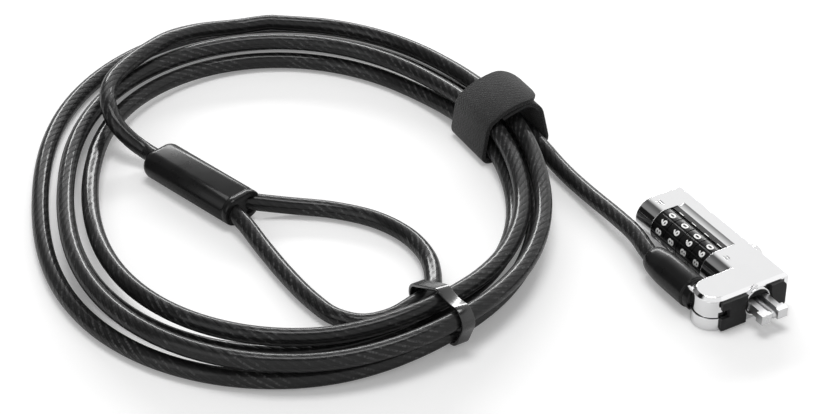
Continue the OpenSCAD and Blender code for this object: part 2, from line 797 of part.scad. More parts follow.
module coil_tie() {
    color([0.1, 0.1, 0.1]) at_row() translate([tie_x - tie_w / 2, 0, 0]) rotate([90, 0, 90])
        linear_extrude(tie_w) difference() {
            tie_outline(tie_inner_r + tie_t);
            tie_outline(tie_inner_r);
        }
}

top_cover();
bottom_cover();
chassis();
front_insert();
nose_ring();
index_bar();
dial_wheel(1);  // dial_wheel_1
dial_wheel(2);  // dial_wheel_2
dial_wheel(3);  // dial_wheel_3
dial_wheel(4);  // dial_wheel_4
clutch_hub(1);  // clutch_hub_1
clutch_hub(2);  // clutch_hub_2
clutch_hub(3);  // clutch_hub_3
clutch_hub(4);  // clutch_hub_4
spindle_tube();
locking_spindle();
spindle_spring();
detent_spring();
hook_left();
hook_right();
hook_pivot_pins();
release_button();
code_change_screw();
cover_screws();
hinge_pin();
cable_knuckle();
cable_sleeve();
cable_ferrule();
cable_lead();
cable_coil();
cable_tail();
eye_loop();
eye_sleeve();
eye_crimp();
coil_strap();
coil_tie();
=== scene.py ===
"""Looks of a coiled combination cable lock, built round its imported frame.

Sizes are millimetres about the dial axis, as in the part's own source. row() takes a
place from there to the row's frame in metres, so a piece goes where its solid is.
"""

import logging
import math
from dataclasses import dataclass, field
from enum import Enum

import bmesh
import bpy
from mathutils import Matrix, Vector


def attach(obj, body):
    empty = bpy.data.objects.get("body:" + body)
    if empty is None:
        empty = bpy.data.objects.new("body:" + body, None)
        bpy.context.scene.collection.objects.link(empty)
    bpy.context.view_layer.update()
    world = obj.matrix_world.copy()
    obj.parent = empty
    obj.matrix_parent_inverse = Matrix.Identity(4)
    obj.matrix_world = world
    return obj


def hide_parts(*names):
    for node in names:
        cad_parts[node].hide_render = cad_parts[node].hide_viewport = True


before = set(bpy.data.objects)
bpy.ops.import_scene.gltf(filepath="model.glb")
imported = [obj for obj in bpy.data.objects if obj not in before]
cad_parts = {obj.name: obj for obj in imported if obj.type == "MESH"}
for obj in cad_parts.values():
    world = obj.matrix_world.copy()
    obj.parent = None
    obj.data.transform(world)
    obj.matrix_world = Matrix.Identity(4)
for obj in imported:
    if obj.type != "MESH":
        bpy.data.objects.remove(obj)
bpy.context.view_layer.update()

LOG = logging.getLogger("cable_lock")

Flat = tuple[float, float]
Point = tuple[float, float, float]
Colour = tuple[float, float, float]

MM = 0.001
MIDDLE = (-1.225, 18.125)
AXIS_Z = 4.75
CABLE_D = 4.5


def row(point: Point | Vector) -> Vector:
    """Takes a place in millimetres about the dial axis to the row's frame in metres."""
    return Vector(((point[0] - MIDDLE[0]) * MM, (point[1] - MIDDLE[1]) * MM, point[2] * MM))


# ---------------------------------------------------------------- node trees


class Graph:
    """Places nodes in one node tree and joins their sockets."""

    def __init__(self, tree: bpy.types.NodeTree) -> None:
        """Keeps the tree that the nodes go into."""
        self.tree = tree

    def add(self, kind: str, **settings: object) -> bpy.types.Node:
        """Adds a node.

        Args:
            kind: The node's type name.
            **settings: Attributes to set on the node.

        Returns:
            The new node.
        """
        node = self.tree.nodes.new(kind)
        for name, value in settings.items():
            setattr(node, name, value)
        return node

    def put(self, target: bpy.types.NodeSocket, value: object) -> None:
        """Joins value to the socket if it is a socket, and otherwise sets it there."""
        if isinstance(value, bpy.types.NodeSocket):
            self.tree.links.new(value, target)
        else:
            target.default_value = value

    def maths(self, operation: str, *values: object) -> bpy.types.NodeSocket:
        """Adds a Math node.

        Args:
            operation: The node's operation, such as MULTIPLY.
            *values: A number or a socket for each input.

        Returns:
            The node's value socket.
        """
        node = self.add("ShaderNodeMath", operation=operation)
        for socket, value in zip(node.inputs, values):
            self.put(socket, value)
        return node.outputs[0]

    def ramp(self, value: object, low: float, high: float, start: float, end: float) -> bpy.types.NodeSocket:
        """Maps value from low..high to start..end with a smooth step, and clamps it there."""
        node = self.add("ShaderNodeMapRange", interpolation_type="SMOOTHSTEP")
        for socket, item in zip(node.inputs, (value, low, high, start, end)):
            self.put(socket, item)
        return node.outputs["Result"]

    def mix(self, share: object, first: Colour, second: Colour) -> bpy.types.NodeSocket:
        """Mixes two colours.

        Args:
            share: The second colour's share, a number or a socket.
            first: The colour at share 0, or a socket.
            second: The colour at share 1, or a socket.

        Returns:
            The mixed colour's socket.
        """
        node = self.add("ShaderNodeMix", data_type="RGBA")
        self.put(node.inputs["Factor"], share)
        for name, colour in (("A", first), ("B", second)):
            socket = [s for s in node.inputs if s.name == name and s.type == "RGBA"][0]
            self.put(socket, colour if isinstance(colour, bpy.types.NodeSocket) else (*colour, 1.0))
        return [s for s in node.outputs if s.type == "RGBA"][0]

    def noise(self, where: bpy.types.NodeSocket, size_mm: float, detail: float = 3.0) -> bpy.types.NodeSocket:
        """Adds a Noise Texture whose features are about size_mm wide, and returns its value."""
        node = self.add("ShaderNodeTexNoise")
        self.put(node.inputs["Vector"], where)
        node.inputs["Scale"].default_value = 1.0 / (size_mm * MM)
        node.inputs["Detail"].default_value = detail
        return node.outputs["Fac"]


@dataclass(frozen=True)
class GroupPort:
    """One named input or output of a shader node group."""

    name: str
    kind: str
    is_input: bool
    default: float = 0.0


class ShaderGroup:
    """A shader node group that is built once and placed in each material that uses it."""

    title = "group"
    ports: tuple[GroupPort, ...] = ()

    @classmethod
    def tree(cls) -> bpy.types.NodeTree:
        """Returns the group's tree, and builds it the first time."""
        found = bpy.data.node_groups.get(cls.title)
        if found is not None:
            return found
        tree = bpy.data.node_groups.new(cls.title, "ShaderNodeTree")
        for port in cls.ports:
            way = "INPUT" if port.is_input else "OUTPUT"
            socket = tree.interface.new_socket(name=port.name, in_out=way, socket_type=port.kind)
            if port.is_input and port.kind == "NodeSocketFloat":
                socket.default_value = port.default
        graph = Graph(tree)
        cls.fill(graph, graph.add("NodeGroupInput"), graph.add("NodeGroupOutput"))
        return tree

    @classmethod
    def fill(cls, graph: Graph, start: bpy.types.Node, end: bpy.types.Node) -> None:
        """Builds the nodes between the group's input node and its output node."""
        raise NotImplementedError

    @classmethod
    def place(cls, graph: Graph, **values: object) -> bpy.types.Node:
        """Places the group in a material.

        Args:
            graph: The material's graph.
            **values: A number or a socket for each input, with _ for a blank in its name.

        Returns:
            The group node.
        """
        node = graph.add("ShaderNodeGroup", node_tree=cls.tree())
        for name, value in values.items():
            graph.put(node.inputs[name.replace("_", " ")], value)
        return node


class HandlingMarks(ShaderGroup):
    """Faint mottling and fine scratches that every handled surface has."""

    BROAD_SCALE = 160.0
    LINE_SCALE = 900.0

    title = "handling_marks"
    ports = (
        GroupPort("Coordinates", "NodeSocketVector", True),
        GroupPort("Grain", "NodeSocketFloat", True, 4000.0),
        GroupPort("Stretch", "NodeSocketFloat", True, 1.0),
        GroupPort("Mottle", "NodeSocketFloat", False),
        GroupPort("Scratch", "NodeSocketFloat", False),
        GroupPort("Fine", "NodeSocketFloat", False),
    )

    @classmethod
    def fill(cls, graph: Graph, start: bpy.types.Node, end: bpy.types.Node) -> None:
        """Builds a broad noise, a stretched noise cut to thin lines, and a fine grain."""
        broad = graph.add("ShaderNodeTexNoise")
        graph.put(broad.inputs["Vector"], start.outputs["Coordinates"])
        broad.inputs["Scale"].default_value = cls.BROAD_SCALE
        broad.inputs["Detail"].default_value = 4.0
        stretch = graph.add("ShaderNodeCombineXYZ")
        for name in ("X", "Z"):
            graph.put(stretch.inputs[name], 1.0)
        graph.put(stretch.inputs["Y"], start.outputs["Stretch"])
        along = graph.add("ShaderNodeVectorMath", operation="MULTIPLY")
        graph.put(along.inputs[0], start.outputs["Coordinates"])
        graph.put(along.inputs[1], stretch.outputs[0])
        lines = graph.add("ShaderNodeTexNoise")
        graph.put(lines.inputs["Vector"], along.outputs[0])
        lines.inputs["Scale"].default_value = cls.LINE_SCALE
        lines.inputs["Detail"].default_value = 2.0
        fine = graph.add("ShaderNodeTexNoise")
        graph.put(fine.inputs["Vector"], along.outputs[0])
        graph.put(fine.inputs["Scale"], start.outputs["Grain"])
        fine.inputs["Detail"].default_value = 1.0
        graph.put(end.inputs["Mottle"], graph.ramp(broad.outputs["Fac"], 0.3, 0.7, 0.0, 1.0))
        graph.put(end.inputs["Scratch"], graph.ramp(lines.outputs["Fac"], 0.62, 0.72, 0.0, 1.0))
        graph.put(end.inputs["Fine"], fine.outputs["Fac"])


class RopeLay(ShaderGroup):
    """Strands of a twisted rope, seen through the jacket round it."""

    WIRES_PER_MM = 1.1
    WIRES_AROUND = 9.0

    title = "rope_lay"
    ports = (
        GroupPort("Around", "NodeSocketFloat", True),
        GroupPort("Along", "NodeSocketFloat", True),
        GroupPort("Strands", "NodeSocketFloat", True, 7.0),
        GroupPort("Lay", "NodeSocketFloat", True, 17.0),
        GroupPort("Height", "NodeSocketFloat", False),
        GroupPort("Wire", "NodeSocketFloat", False),
    )

    @classmethod
    def fill(cls, graph: Graph, start: bpy.types.Node, end: bpy.types.Node) -> None:
        """Builds the round backs of the strands and the thin wires laid the other way."""
        around, along = start.outputs["Around"], start.outputs["Along"]
        turns = graph.maths("DIVIDE", along, start.outputs["Lay"])
        phase = graph.maths("MULTIPLY", graph.maths("SUBTRACT", around, turns), start.outputs["Strands"])
        offset = graph.maths("SUBTRACT", graph.maths("FRACT", phase), 0.5)
        square = graph.maths("MULTIPLY", graph.maths("MULTIPLY", offset, offset), 4.0)
        back = graph.maths("SQRT", graph.maths("MAXIMUM", graph.maths("SUBTRACT", 1.0, square), 0.0))
        lengthwise = graph.maths("MULTIPLY", along, cls.WIRES_PER_MM)
        wires = graph.maths("ADD", lengthwise, graph.maths("MULTIPLY", around, cls.WIRES_AROUND))
        wave = graph.maths("SINE", graph.maths("MULTIPLY", wires, 2 * math.pi))
        graph.put(end.inputs["Height"], back)
        graph.put(end.inputs["Wire"], graph.maths("MULTIPLY_ADD", wave, 0.5, 0.5))


class Weave(ShaderGroup):
    """Over-and-under threads of a woven band."""

    title = "band_weave"
    ports = (
        GroupPort("Across", "NodeSocketFloat", True),
        GroupPort("Along", "NodeSocketFloat", True),
        GroupPort("Thread", "NodeSocketFloat", True, 0.55),
        GroupPort("Height", "NodeSocketFloat", False),
    )

    @classmethod
    def fill(cls, graph: Graph, start: bpy.types.Node, end: bpy.types.Node) -> None:
        """Builds two crossed waves, each lifted where it passes over the other."""
        across = graph.maths("DIVIDE", start.outputs["Across"], start.outputs["Thread"])
        along = graph.maths("DIVIDE", start.outputs["Along"], start.outputs["Thread"])
        waves = []
        for here, other in ((across, along), (along, across)):
            rib = graph.maths("ABSOLUTE", graph.maths("SINE", graph.maths("MULTIPLY", here, math.pi)))
            parity = graph.maths("MULTIPLY", graph.maths("FLOOR", here), math.pi)
            over = graph.maths("SINE", graph.maths("MULTIPLY_ADD", other, math.pi, parity))
            lift = graph.maths("MULTIPLY_ADD", over, 0.5, 0.5)
            waves.append(graph.maths("MULTIPLY", rib, lift))
        graph.put(end.inputs["Height"], graph.maths("MAXIMUM", waves[0], waves[1]))


# ------------------------------------------------------------------ finishes


@dataclass(frozen=True)
class Finish:
    """Base of every finish: its name, its colour and how sharp its edges look."""

    name: str
    colour: Colour
    roughness: float
    edge_mm: float = 0.0

    def material(self) -> bpy.types.Material:
        """Builds the finish as a material, or returns it where it is built already."""
        found = bpy.data.materials.get(self.name)
        if found is not None:
            return found
        made = bpy.data.materials.new(self.name)
        made.use_nodes = True
        graph = Graph(made.node_tree)
        shader = made.node_tree.nodes["Principled BSDF"]
        shader.inputs["Roughness"].default_value = self.roughness
        shader.inputs["Base Color"].default_value = (*self.colour, 1.0)
        self.dress(graph, shader)
        made.diffuse_color = (*self.colour, 1.0)
        return made

    def dress(self, graph: Graph, shader: bpy.types.Node) -> None:
        """Adds the finish's own nodes to the material."""
        raise NotImplementedError

    def place_in(self, graph: Graph) -> bpy.types.NodeSocket:
        """Returns the socket that holds a point's place on the object."""
        return graph.add("ShaderNodeTexCoord").outputs["Object"]

    def soft_edges(self, graph: Graph) -> bpy.types.NodeSocket | None:
        """Returns a normal that rounds the edges, or nothing where they stay sharp."""
        if not self.edge_mm:
            return None
        node = graph.add("ShaderNodeBevel", samples=4)
        node.inputs["Radius"].default_value = self.edge_mm * MM
        return node.outputs["Normal"]

    def bump(
        self, graph: Graph, height: object, depth_mm: float, normal: object = None
    ) -> bpy.types.NodeSocket:
        """Adds a Bump node of that depth over the given normal, and returns its normal."""
        node = graph.add("ShaderNodeBump")
        node.inputs["Strength"].default_value = 1.0
        node.inputs["Distance"].default_value = depth_mm * MM
        graph.put(node.inputs["Height"], height)
        if normal is not None:
            graph.put(node.inputs["Normal"], normal)
        return node.outputs["Normal"]


@dataclass(frozen=True)
class MetalFinish(Finish):
    """Plated, brushed or cast metal."""

    mottle: float = 0.05
    grain_mm: float = 0.25
    stretch: float = 1.0
    grain_depth_mm: float = 0.0004
    tarnish: Colour = (0.5, 0.5, 0.5)
    tarnish_share: float = 0.08

    def dress(self, graph: Graph, shader: bpy.types.Node) -> None:
        """Varies the roughness and the colour, and adds grain over rounded edges."""
        shader.inputs["Metallic"].default_value = 1.0
        marks = HandlingMarks.place(
            graph, Coordinates=self.place_in(graph), Grain=1.0 / (self.grain_mm * MM), Stretch=self.stretch
        )
        smooth = self.roughness - self.mottle / 2
        rough = graph.maths("MULTIPLY_ADD", marks.outputs["Mottle"], self.mottle, smooth)
        rough = graph.maths("MULTIPLY_ADD", marks.outputs["Scratch"], self.mottle, rough)
        graph.put(shader.inputs["Roughness"], rough)
        share = graph.maths("MULTIPLY", marks.outputs["Mottle"], self.tarnish_share)
        graph.put(shader.inputs["Base Color"], graph.mix(share, self.colour, self.tarnish))
        normal = self.bump(graph, marks.outputs["Fine"], self.grain_depth_mm, self.soft_edges(graph))
        graph.put(shader.inputs["Normal"], normal)


@dataclass(frozen=True)
class PlasticFinish(Finish):
    """Moulded plastic, from matt to gloss."""

    dust: Colour = (0.12, 0.12, 0.12)
    dust_share: float = 0.1
    grain_mm: float = 0.3
    grain_depth_mm: float = 0.002
    coat: float = 0.0
    specular: float = 0.5

    def dress(self, graph: Graph, shader: bpy.types.Node) -> None:
        """Adds a moulded grain, light scuffs and, for gloss, a clear top."""
        marks = HandlingMarks.place(
            graph, Coordinates=self.place_in(graph), Grain=1.0 / (self.grain_mm * MM), Stretch=1.0
        )
        scuff = graph.maths("MULTIPLY_ADD", marks.outputs["Scratch"], 0.5, marks.outputs["Mottle"])
        share = graph.maths("MULTIPLY", scuff, self.dust_share)
        graph.put(shader.inputs["Base Color"], graph.mix(share, self.colour, self.dust))
        rough = graph.maths("MULTIPLY_ADD", scuff, 0.06, self.roughness)
        graph.put(shader.inputs["Roughness"], rough)
        shader.inputs["Specular IOR Level"].default_value = self.specular
        shader.inputs["Coat Weight"].default_value = self.coat
        shader.inputs["Coat Roughness"].default_value = 0.1
        normal = self.bump(graph, marks.outputs["Fine"], self.grain_depth_mm, self.soft_edges(graph))
        graph.put(shader.inputs["Normal"], normal)


@dataclass(frozen=True)
class JacketFinish(Finish):
    """Clear smoke jacket over a twisted steel rope, on the tube's own around-and-along map."""

    # Grey of the strand crests: partly the steel seen through the jacket, partly a painted highlight.
    ridge: Colour = (0.085, 0.085, 0.086)
    strands: float = 8.0
    lay_mm: float = 25.0
    rope_depth_mm: float = 0.12
    patch_mm: float = 11.0
    speck_mm: float = 0.9
    ripple_mm: float = 4.5
    ripple_depth_mm: float = 0.07
    specular: float = 0.08
    coat: float = 0.38
    coat_roughness: float = 0.12

    def dress(self, graph: Graph, shader: bpy.types.Node) -> None:
        """Paints the strand crests below lighter, partly the steel's own grey and partly a painted highlight,
        with painted shade in the grooves between them, and leaves the jacket's own surface nearly smooth.
        """
        uv = graph.add("ShaderNodeSeparateXYZ")
        graph.put(uv.inputs[0], graph.add("ShaderNodeUVMap", uv_map="lay").outputs["UV"])
        along = graph.maths("MULTIPLY", uv.outputs["Y"], 1 / MM)
        around = uv.outputs["X"]
        rope = RopeLay.place(graph, Around=around, Along=along, Strands=self.strands, Lay=self.lay_mm)
        place = self.place_in(graph)
        patch = graph.ramp(graph.noise(place, self.patch_mm), 0.4, 0.6, 0.15, 1.0)
        speck = graph.ramp(graph.noise(place, self.speck_mm, 2.0), 0.4, 0.66, 0.15, 1.0)
        # Only the crests get the lighter grey, as a painted highlight broken into dashes; the grooves keep
        # the dark colour as painted shade.
        backs = graph.ramp(rope.outputs["Height"], 0.86, 1.0, 0.0, 1.0)
        lit = graph.maths("MULTIPLY", graph.maths("MULTIPLY", backs, patch), speck)
        lit = graph.maths("MULTIPLY", lit, graph.maths("MULTIPLY_ADD", rope.outputs["Wire"], 0.35, 0.65))
        graph.put(shader.inputs["Base Color"], graph.mix(lit, self.colour, self.ridge))
        graph.put(shader.inputs["Normal"], self.bump(graph, rope.outputs["Height"], self.rope_depth_mm))
        shader.inputs["Specular IOR Level"].default_value = self.specular
        shader.inputs["Coat Weight"].default_value = self.coat
        shader.inputs["Coat Roughness"].default_value = self.coat_roughness
        shader.inputs["Coat IOR"].default_value = 1.5
        wave = graph.noise(place, self.ripple_mm, 1.0)
        ripple = graph.maths("MULTIPLY_ADD", rope.outputs["Height"], 0.08, wave)
        graph.put(shader.inputs["Coat Normal"], self.bump(graph, ripple, self.ripple_depth_mm))


@dataclass(frozen=True)
class ClothFinish(Finish):
    """Woven band with a faint lint, on the band's own across-and-along map."""

    light: Colour = (0.032, 0.032, 0.033)
    fleck: Colour = (0.11, 0.11, 0.11)
    thread_mm: float = 0.5
    lint_mm: float = 0.4
    fleck_mm: float = 0.25
    depth_mm: float = 0.1
    half_width_mm: float = 8.65

    def dress(self, graph: Graph, shader: bpy.types.Node) -> None:
        """Lights the tops of the threads and lets the gaps go dark."""
        uv = graph.add("ShaderNodeSeparateXYZ")
        graph.put(uv.inputs[0], graph.add("ShaderNodeUVMap", uv_map="lay").outputs["UV"])
        across = graph.maths("MULTIPLY", uv.outputs["X"], 1 / MM)
        along = graph.maths("MULTIPLY", uv.outputs["Y"], 1 / MM)
        weave = Weave.place(graph, Across=across, Along=along, Thread=self.thread_mm)
        place = self.place_in(graph)
        lint = graph.ramp(graph.noise(place, self.lint_mm), 0.4, 0.7, 0.2, 1.0)
        share = graph.maths("MULTIPLY_ADD", weave.outputs["Height"], 0.5, 0.3)
        cloth = graph.mix(graph.maths("MULTIPLY", share, lint), self.colour, self.light)
        flecks = graph.ramp(graph.noise(place, self.fleck_mm, 2.0), 0.66, 0.74, 0.0, 1.0)
        cloth = graph.mix(flecks, cloth, self.fleck)
        edge = self.half_width_mm
        side = graph.ramp(graph.maths("ABSOLUTE", across), edge - 1.3, edge - 0.3, 0.0, 0.85)
        graph.put(shader.inputs["Base Color"], graph.mix(side, cloth, self.colour))
        height = graph.maths("MULTIPLY_ADD", weave.outputs["Height"], 0.5, lint)
        graph.put(shader.inputs["Normal"], self.bump(graph, height, self.depth_mm))
        shader.inputs["Specular IOR Level"].default_value = 0.25
        shader.inputs["Sheen Weight"].default_value = 0.25
        shader.inputs["Sheen Roughness"].default_value = 0.5


@dataclass(frozen=True)
class InkFinish(Finish):
    """Filled paint of the digits and marks."""

    worn: Colour = (0.55, 0.55, 0.54)

    def dress(self, graph: Graph, shader: bpy.types.Node) -> None:
        """Lets the paint go a little grey in patches."""
        wear = graph.ramp(graph.noise(self.place_in(graph), 0.5), 0.5, 0.8, 0.0, 0.5)
        graph.put(shader.inputs["Base Color"], graph.mix(wear, self.colour, self.worn))
        graph.put(shader.inputs["Roughness"], graph.maths("MULTIPLY_ADD", wear, 0.2, self.roughness))


class Finishes:
    """Every finish on the lock."""

    COVER = MetalFinish(
        "cover_satin_chrome", (0.84, 0.84, 0.845), 0.055, 0.2, 0.02, stretch=0.15, tarnish_share=0.04
    )
    POLISHED = MetalFinish("polished_chrome", (0.8, 0.8, 0.805), 0.1, 0.1, mottle=0.04)
    HOOK = MetalFinish("hook_steel", (0.66, 0.66, 0.665), 0.3, 0.1, mottle=0.1, grain_mm=0.12, stretch=0.1)
    STEEL = MetalFinish("turned_steel", (0.56, 0.56, 0.57), 0.28, 0.06, mottle=0.1, stretch=0.3)
    SPRING = MetalFinish("spring_wire", (0.5, 0.5, 0.52), 0.25, 0.0, mottle=0.08)
    CASTING = MetalFinish("grey_casting", (0.42, 0.42, 0.43), 0.5, 0.1, grain_mm=0.4, grain_depth_mm=0.01)
    BRASS = MetalFinish(
        "machined_brass", (0.78, 0.6, 0.27), 0.27, 0.06, stretch=0.3,
        tarnish=(0.35, 0.22, 0.08), tarnish_share=0.3,
    )
    INSERT = PlasticFinish(
        "insert_matt_charcoal", (0.014, 0.014, 0.0145), 0.5, 0.12, grain_depth_mm=0.006, specular=0.2
    )
    BAR = PlasticFinish("index_bar_black", (0.004, 0.004, 0.004), 0.35, 0.08, dust_share=0.01, specular=0.15)
    DIAL = PlasticFinish("dial_black", (0.004, 0.004, 0.004), 0.25, 0.12, dust_share=0.02, specular=0.28)
    SLEEVE = PlasticFinish(
        "sleeve_gloss_black", (0.0105, 0.0105, 0.0107), 0.26, 0.0, coat=0.14, dust_share=0.02, specular=0.12
    )
    TIE = PlasticFinish("tie_gloss_black", (0.01, 0.01, 0.01), 0.22, 0.05, coat=0.4, dust_share=0.05)
    JACKET = JacketFinish("cable_smoke_jacket", (0.012, 0.012, 0.0122), 0.45)
    STRAP = ClothFinish("strap_weave", (0.0105, 0.0105, 0.0106), 0.85)
    INK = InkFinish("white_ink", (0.9, 0.9, 0.89), 0.4)


# -------------------------------------------------------------------- shapes


def object_of(name: str, mesh: bpy.types.Mesh, finish: Finish | None) -> bpy.types.Object:
    """Links a new object with the mesh and gives it the finish.

    Args:
        name: The piece's name.
        mesh: The mesh, with its place in it.
        finish: The finish, or nothing where the mesh has its own.

    Returns:
        The new object, at the origin.
    """
    made = bpy.data.objects.new(name, mesh)
    bpy.context.scene.collection.objects.link(made)
    if finish is not None:
        mesh.materials.clear()
        mesh.materials.append(finish.material())
    return made


def settle(made: bpy.types.Object, body: str, slot: str, *stands_for: str) -> bpy.types.Object:
    """Makes the piece ride on its body in place of the CAD nodes that it stands for."""
    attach(made, body)
    if stands_for:
        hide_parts(*stands_for)
    LOG.info("%s: %d faces on %s", made.name, len(made.data.polygons), body)
    return made


def loft(name: str, rings: list[list[Vector]], along: list[float], around: list[float],
         closed_run: bool = False) -> bpy.types.Mesh:
    """Joins rings of points into one closed shell.

    Args:
        name: The mesh's name.
        rings: The rings in metres, each with the same number of points.
        along: The map's second value at each ring, and at the end of a closed run.
        around: The map's first value at each point of a ring, and at its end.
        closed_run: Whether the last ring joins the first.

    Returns:
        The mesh, smooth shaded, with a map named lay.
    """
    shell = bmesh.new()
    layer = shell.loops.layers.uv.new("lay")
    grid = [[shell.verts.new(p) for p in ring] for ring in rings]
    count, runs = len(rings[0]), len(rings)
    for i in range(runs if closed_run else runs - 1):
        below, above = grid[i], grid[(i + 1) % runs]
        for k in range(count):
            n = (k + 1) % count
            face = shell.faces.new((below[k], below[n], above[n], above[k]))
            places = ((around[k], along[i]), (around[k + 1], along[i]),
                      (around[k + 1], along[i + 1]), (around[k], along[i + 1]))
            for corner, place in zip(face.loops, places):
                corner[layer].uv = place
    if not closed_run:
        for ring, value in ((grid[0][::-1], along[0]), (grid[-1], along[-1])):
            face = shell.faces.new(ring)
            for corner in face.loops:
                corner[layer].uv = (0.0, value)
    bmesh.ops.remove_doubles(shell, verts=shell.verts, dist=1e-7)
    bmesh.ops.recalc_face_normals(shell, faces=shell.faces)
    mesh = bpy.data.meshes.new(name)
    shell.to_mesh(mesh)
    shell.free()
    mesh.shade_smooth()
    mesh.set_sharp_from_angle(angle=math.radians(40))
    return mesh


def turned(name: str, profile: list[Flat], centre: Flat, ring: bool = False,
           sides: int = 96) -> bpy.types.Mesh:
    """Turns a profile about a line along Y.

    Args:
        name: The mesh's name.
        profile: Radius and Y of each point, in millimetres.
        centre: X and Z of the line, in millimetres.
        ring: Whether the profile closes on itself; otherwise its ends lie on the line.
        sides: The number of points round.

    Returns:
        The mesh.
    """
    turn = [2 * math.pi * k / sides for k in range(sides)]
    rings = [[row((centre[0] + max(r, 1e-5) * math.sin(a), y, centre[1] + max(r, 1e-5) * math.cos(a)))
              for a in turn] for r, y in profile]
    along = [i * MM for i in range(len(profile) + 1)]
    around = [k / sides for k in range(sides + 1)]
    return loft(name, rings, along, around, closed_run=ring)


def rounded(points: list[Flat], radii: list[float], steps: int = 5) -> list[Flat]:
    """Rounds the corners of an open line of flat points.

    Args:
        points: The line's points.
        radii: How far from each point its rounding starts; 0 keeps it sharp.
        steps: The number of pieces in each rounding.

    Returns:
        The line with a curve at each rounded point.
    """
    made: list[Flat] = []
    for i, (point, radius) in enumerate(zip(points, radii)):
        if not radius or i in (0, len(points) - 1):
            made.append(point)
            continue
        here = Vector(point)
        before = (Vector(points[i - 1]) - here).normalized() * radius
        after = (Vector(points[i + 1]) - here).normalized() * radius
        for k in range(steps + 1):
            t = k / steps
            made.append(tuple(here + before * (1 - t) ** 2 + after * t * t))
    return made


def smooth_line(points: list[Vector], step: float) -> list[Vector]:
    """Draws a centripetal Catmull-Rom line through the points and spaces it evenly.

    Args:
        points: The points that the line goes through, in metres.
        step: The distance between two points of the result, in metres.

    Returns:
        The evenly spaced points.
    """
    padded = [2 * points[0] - points[1], *points, 2 * points[-1] - points[-2]]
    dense: list[Vector] = []
    for a, b, c, d in zip(padded, padded[1:], padded[2:], padded[3:]):
        t1 = math.sqrt((b - a).length)
        t2 = t1 + math.sqrt((c - b).length)
        t3 = t2 + math.sqrt((d - c).length)
        pieces = max(2, int((c - b).length / step * 2))
        for k in range(pieces):
            t = t1 + (t2 - t1) * k / pieces
            ab = a * ((t1 - t) / t1) + b * (t / t1)
            bc = b * ((t2 - t) / (t2 - t1)) + c * ((t - t1) / (t2 - t1))
            cd = c * ((t3 - t) / (t3 - t2)) + d * ((t - t2) / (t3 - t2))
            abc = ab * ((t2 - t) / t2) + bc * (t / t2)
            bcd = bc * ((t3 - t) / (t3 - t1)) + cd * ((t - t1) / (t3 - t1))
            dense.append(abc * ((t2 - t) / (t2 - t1)) + bcd * ((t - t1) / (t2 - t1)))
    dense.append(points[-1].copy())
    return evenly(dense, step)


def evenly(line: list[Vector], step: float) -> list[Vector]:
    """Returns points along a line, about step apart and with both of its ends."""
    lengths = [0.0]
    for a, b in zip(line, line[1:]):
        lengths.append(lengths[-1] + (b - a).length)
    count = max(2, round(lengths[-1] / step))
    made, i = [], 0
    for k in range(count + 1):
        want = lengths[-1] * k / count
        while i < len(line) - 2 and lengths[i + 1] < want:
            i += 1
        share = (want - lengths[i]) / max(lengths[i + 1] - lengths[i], 1e-12)
        made.append(line[i].lerp(line[i + 1], min(share, 1.0)))
    return made


def line_length(line: list[Vector]) -> float:
    """Returns the length of a line of points."""
    return sum((b - a).length for a, b in zip(line, line[1:]))


def sweep_tube(name: str, line: list[Vector], radius: float, sides: int) -> bpy.types.Mesh:
    """Sweeps a round tube along a line without twisting it.

    Args:
        name: The mesh's name.
        line: The line's points, in metres.
        radius: The tube's radius, in metres.
        sides: The number of points in each ring.

    Returns:
        The mesh, whose map runs round from 0 to 1 and along in metres.
    """
    side = Vector((0, 0, 1)).cross(line[1] - line[0]).normalized()
    rings, along, far = [], [], 0.0
    for i, point in enumerate(line):
        way = (line[min(i + 1, len(line) - 1)] - line[max(i - 1, 0)]).normalized()
        side = (side - way * side.dot(way)).normalized()
        up = way.cross(side)
        rings.append([point + radius * (math.cos(a) * side + math.sin(a) * up)
                      for a in (2 * math.pi * k / sides for k in range(sides))])
        far += (point - line[max(i - 1, 0)]).length
        along.append(far)
    return loft(name, rings, along, [k / sides for k in range(sides + 1)])


@dataclass(frozen=True)
class BandSection:
    """Cross-section of a flat band: its half width, its thickness and its rounded edges."""

    half_width: float
    thickness: float
    edge: float

    def ring(self, half_width: float) -> list[Flat]:
        """Returns the section's (across, out) points in millimetres, at the given half width."""
        t, e = self.thickness / 2, self.edge
        corner = [(math.cos(a), math.sin(a)) for a in (0.0, math.pi / 6, math.pi / 3, math.pi / 2)]
        right = [(half_width - e + e * c, t - e + e * s) for c, s in corner]
        left = [(-x, y) for x, y in right[::-1]]
        return right + left + [(-x, -y) for x, y in right] + [(-x, -y) for x, y in left]


def sweep_band(name: str, line: list[Flat], section: BandSection, place: Matrix,
               closed: bool, end_round: float = 0.0) -> bpy.types.Mesh:
    """Sweeps a flat band along a line in the X-Z plane of its own frame, with its width along Y.

    Args:
        name: The mesh's name.
        line: X and Z of each point of the band's middle, in millimetres.
        section: The band's cross-section.
        place: The band's frame, in millimetres about the dial axis.
        closed: Whether the band is a ring.
        end_round: The radius of the corners at the line's end, in millimetres.

    Returns:
        The mesh, whose map is in metres across and along the band.
    """
    lengths, count = [0.0], len(line)
    for a, b in zip(line, line[1:] + line[:1]):
        lengths.append(lengths[-1] + math.dist(a, b))
    total = lengths[-1] if closed else lengths[-2]
    rings = []
    for i, (x, z) in enumerate(line):
        before = line[(i - 1) % count] if closed or i else line[i]
        after = line[(i + 1) % count] if closed or i < count - 1 else line[i]
        way = Vector((after[0] - before[0], after[1] - before[1])).normalized()
        out = Vector((-way.y, way.x))
        half, left = section.half_width, total - lengths[i]
        if end_round and left < end_round:
            half -= end_round - math.sqrt(end_round**2 - (end_round - left) ** 2)
        rings.append([row(place @ Vector((x + out.x * h, w, z + out.y * h))) for w, h in section.ring(half)])
    flat = [w * MM for w, _ in section.ring(section.half_width)]
    return loft(name, rings, [v * MM for v in lengths], [*flat, flat[0]], closed_run=closed)


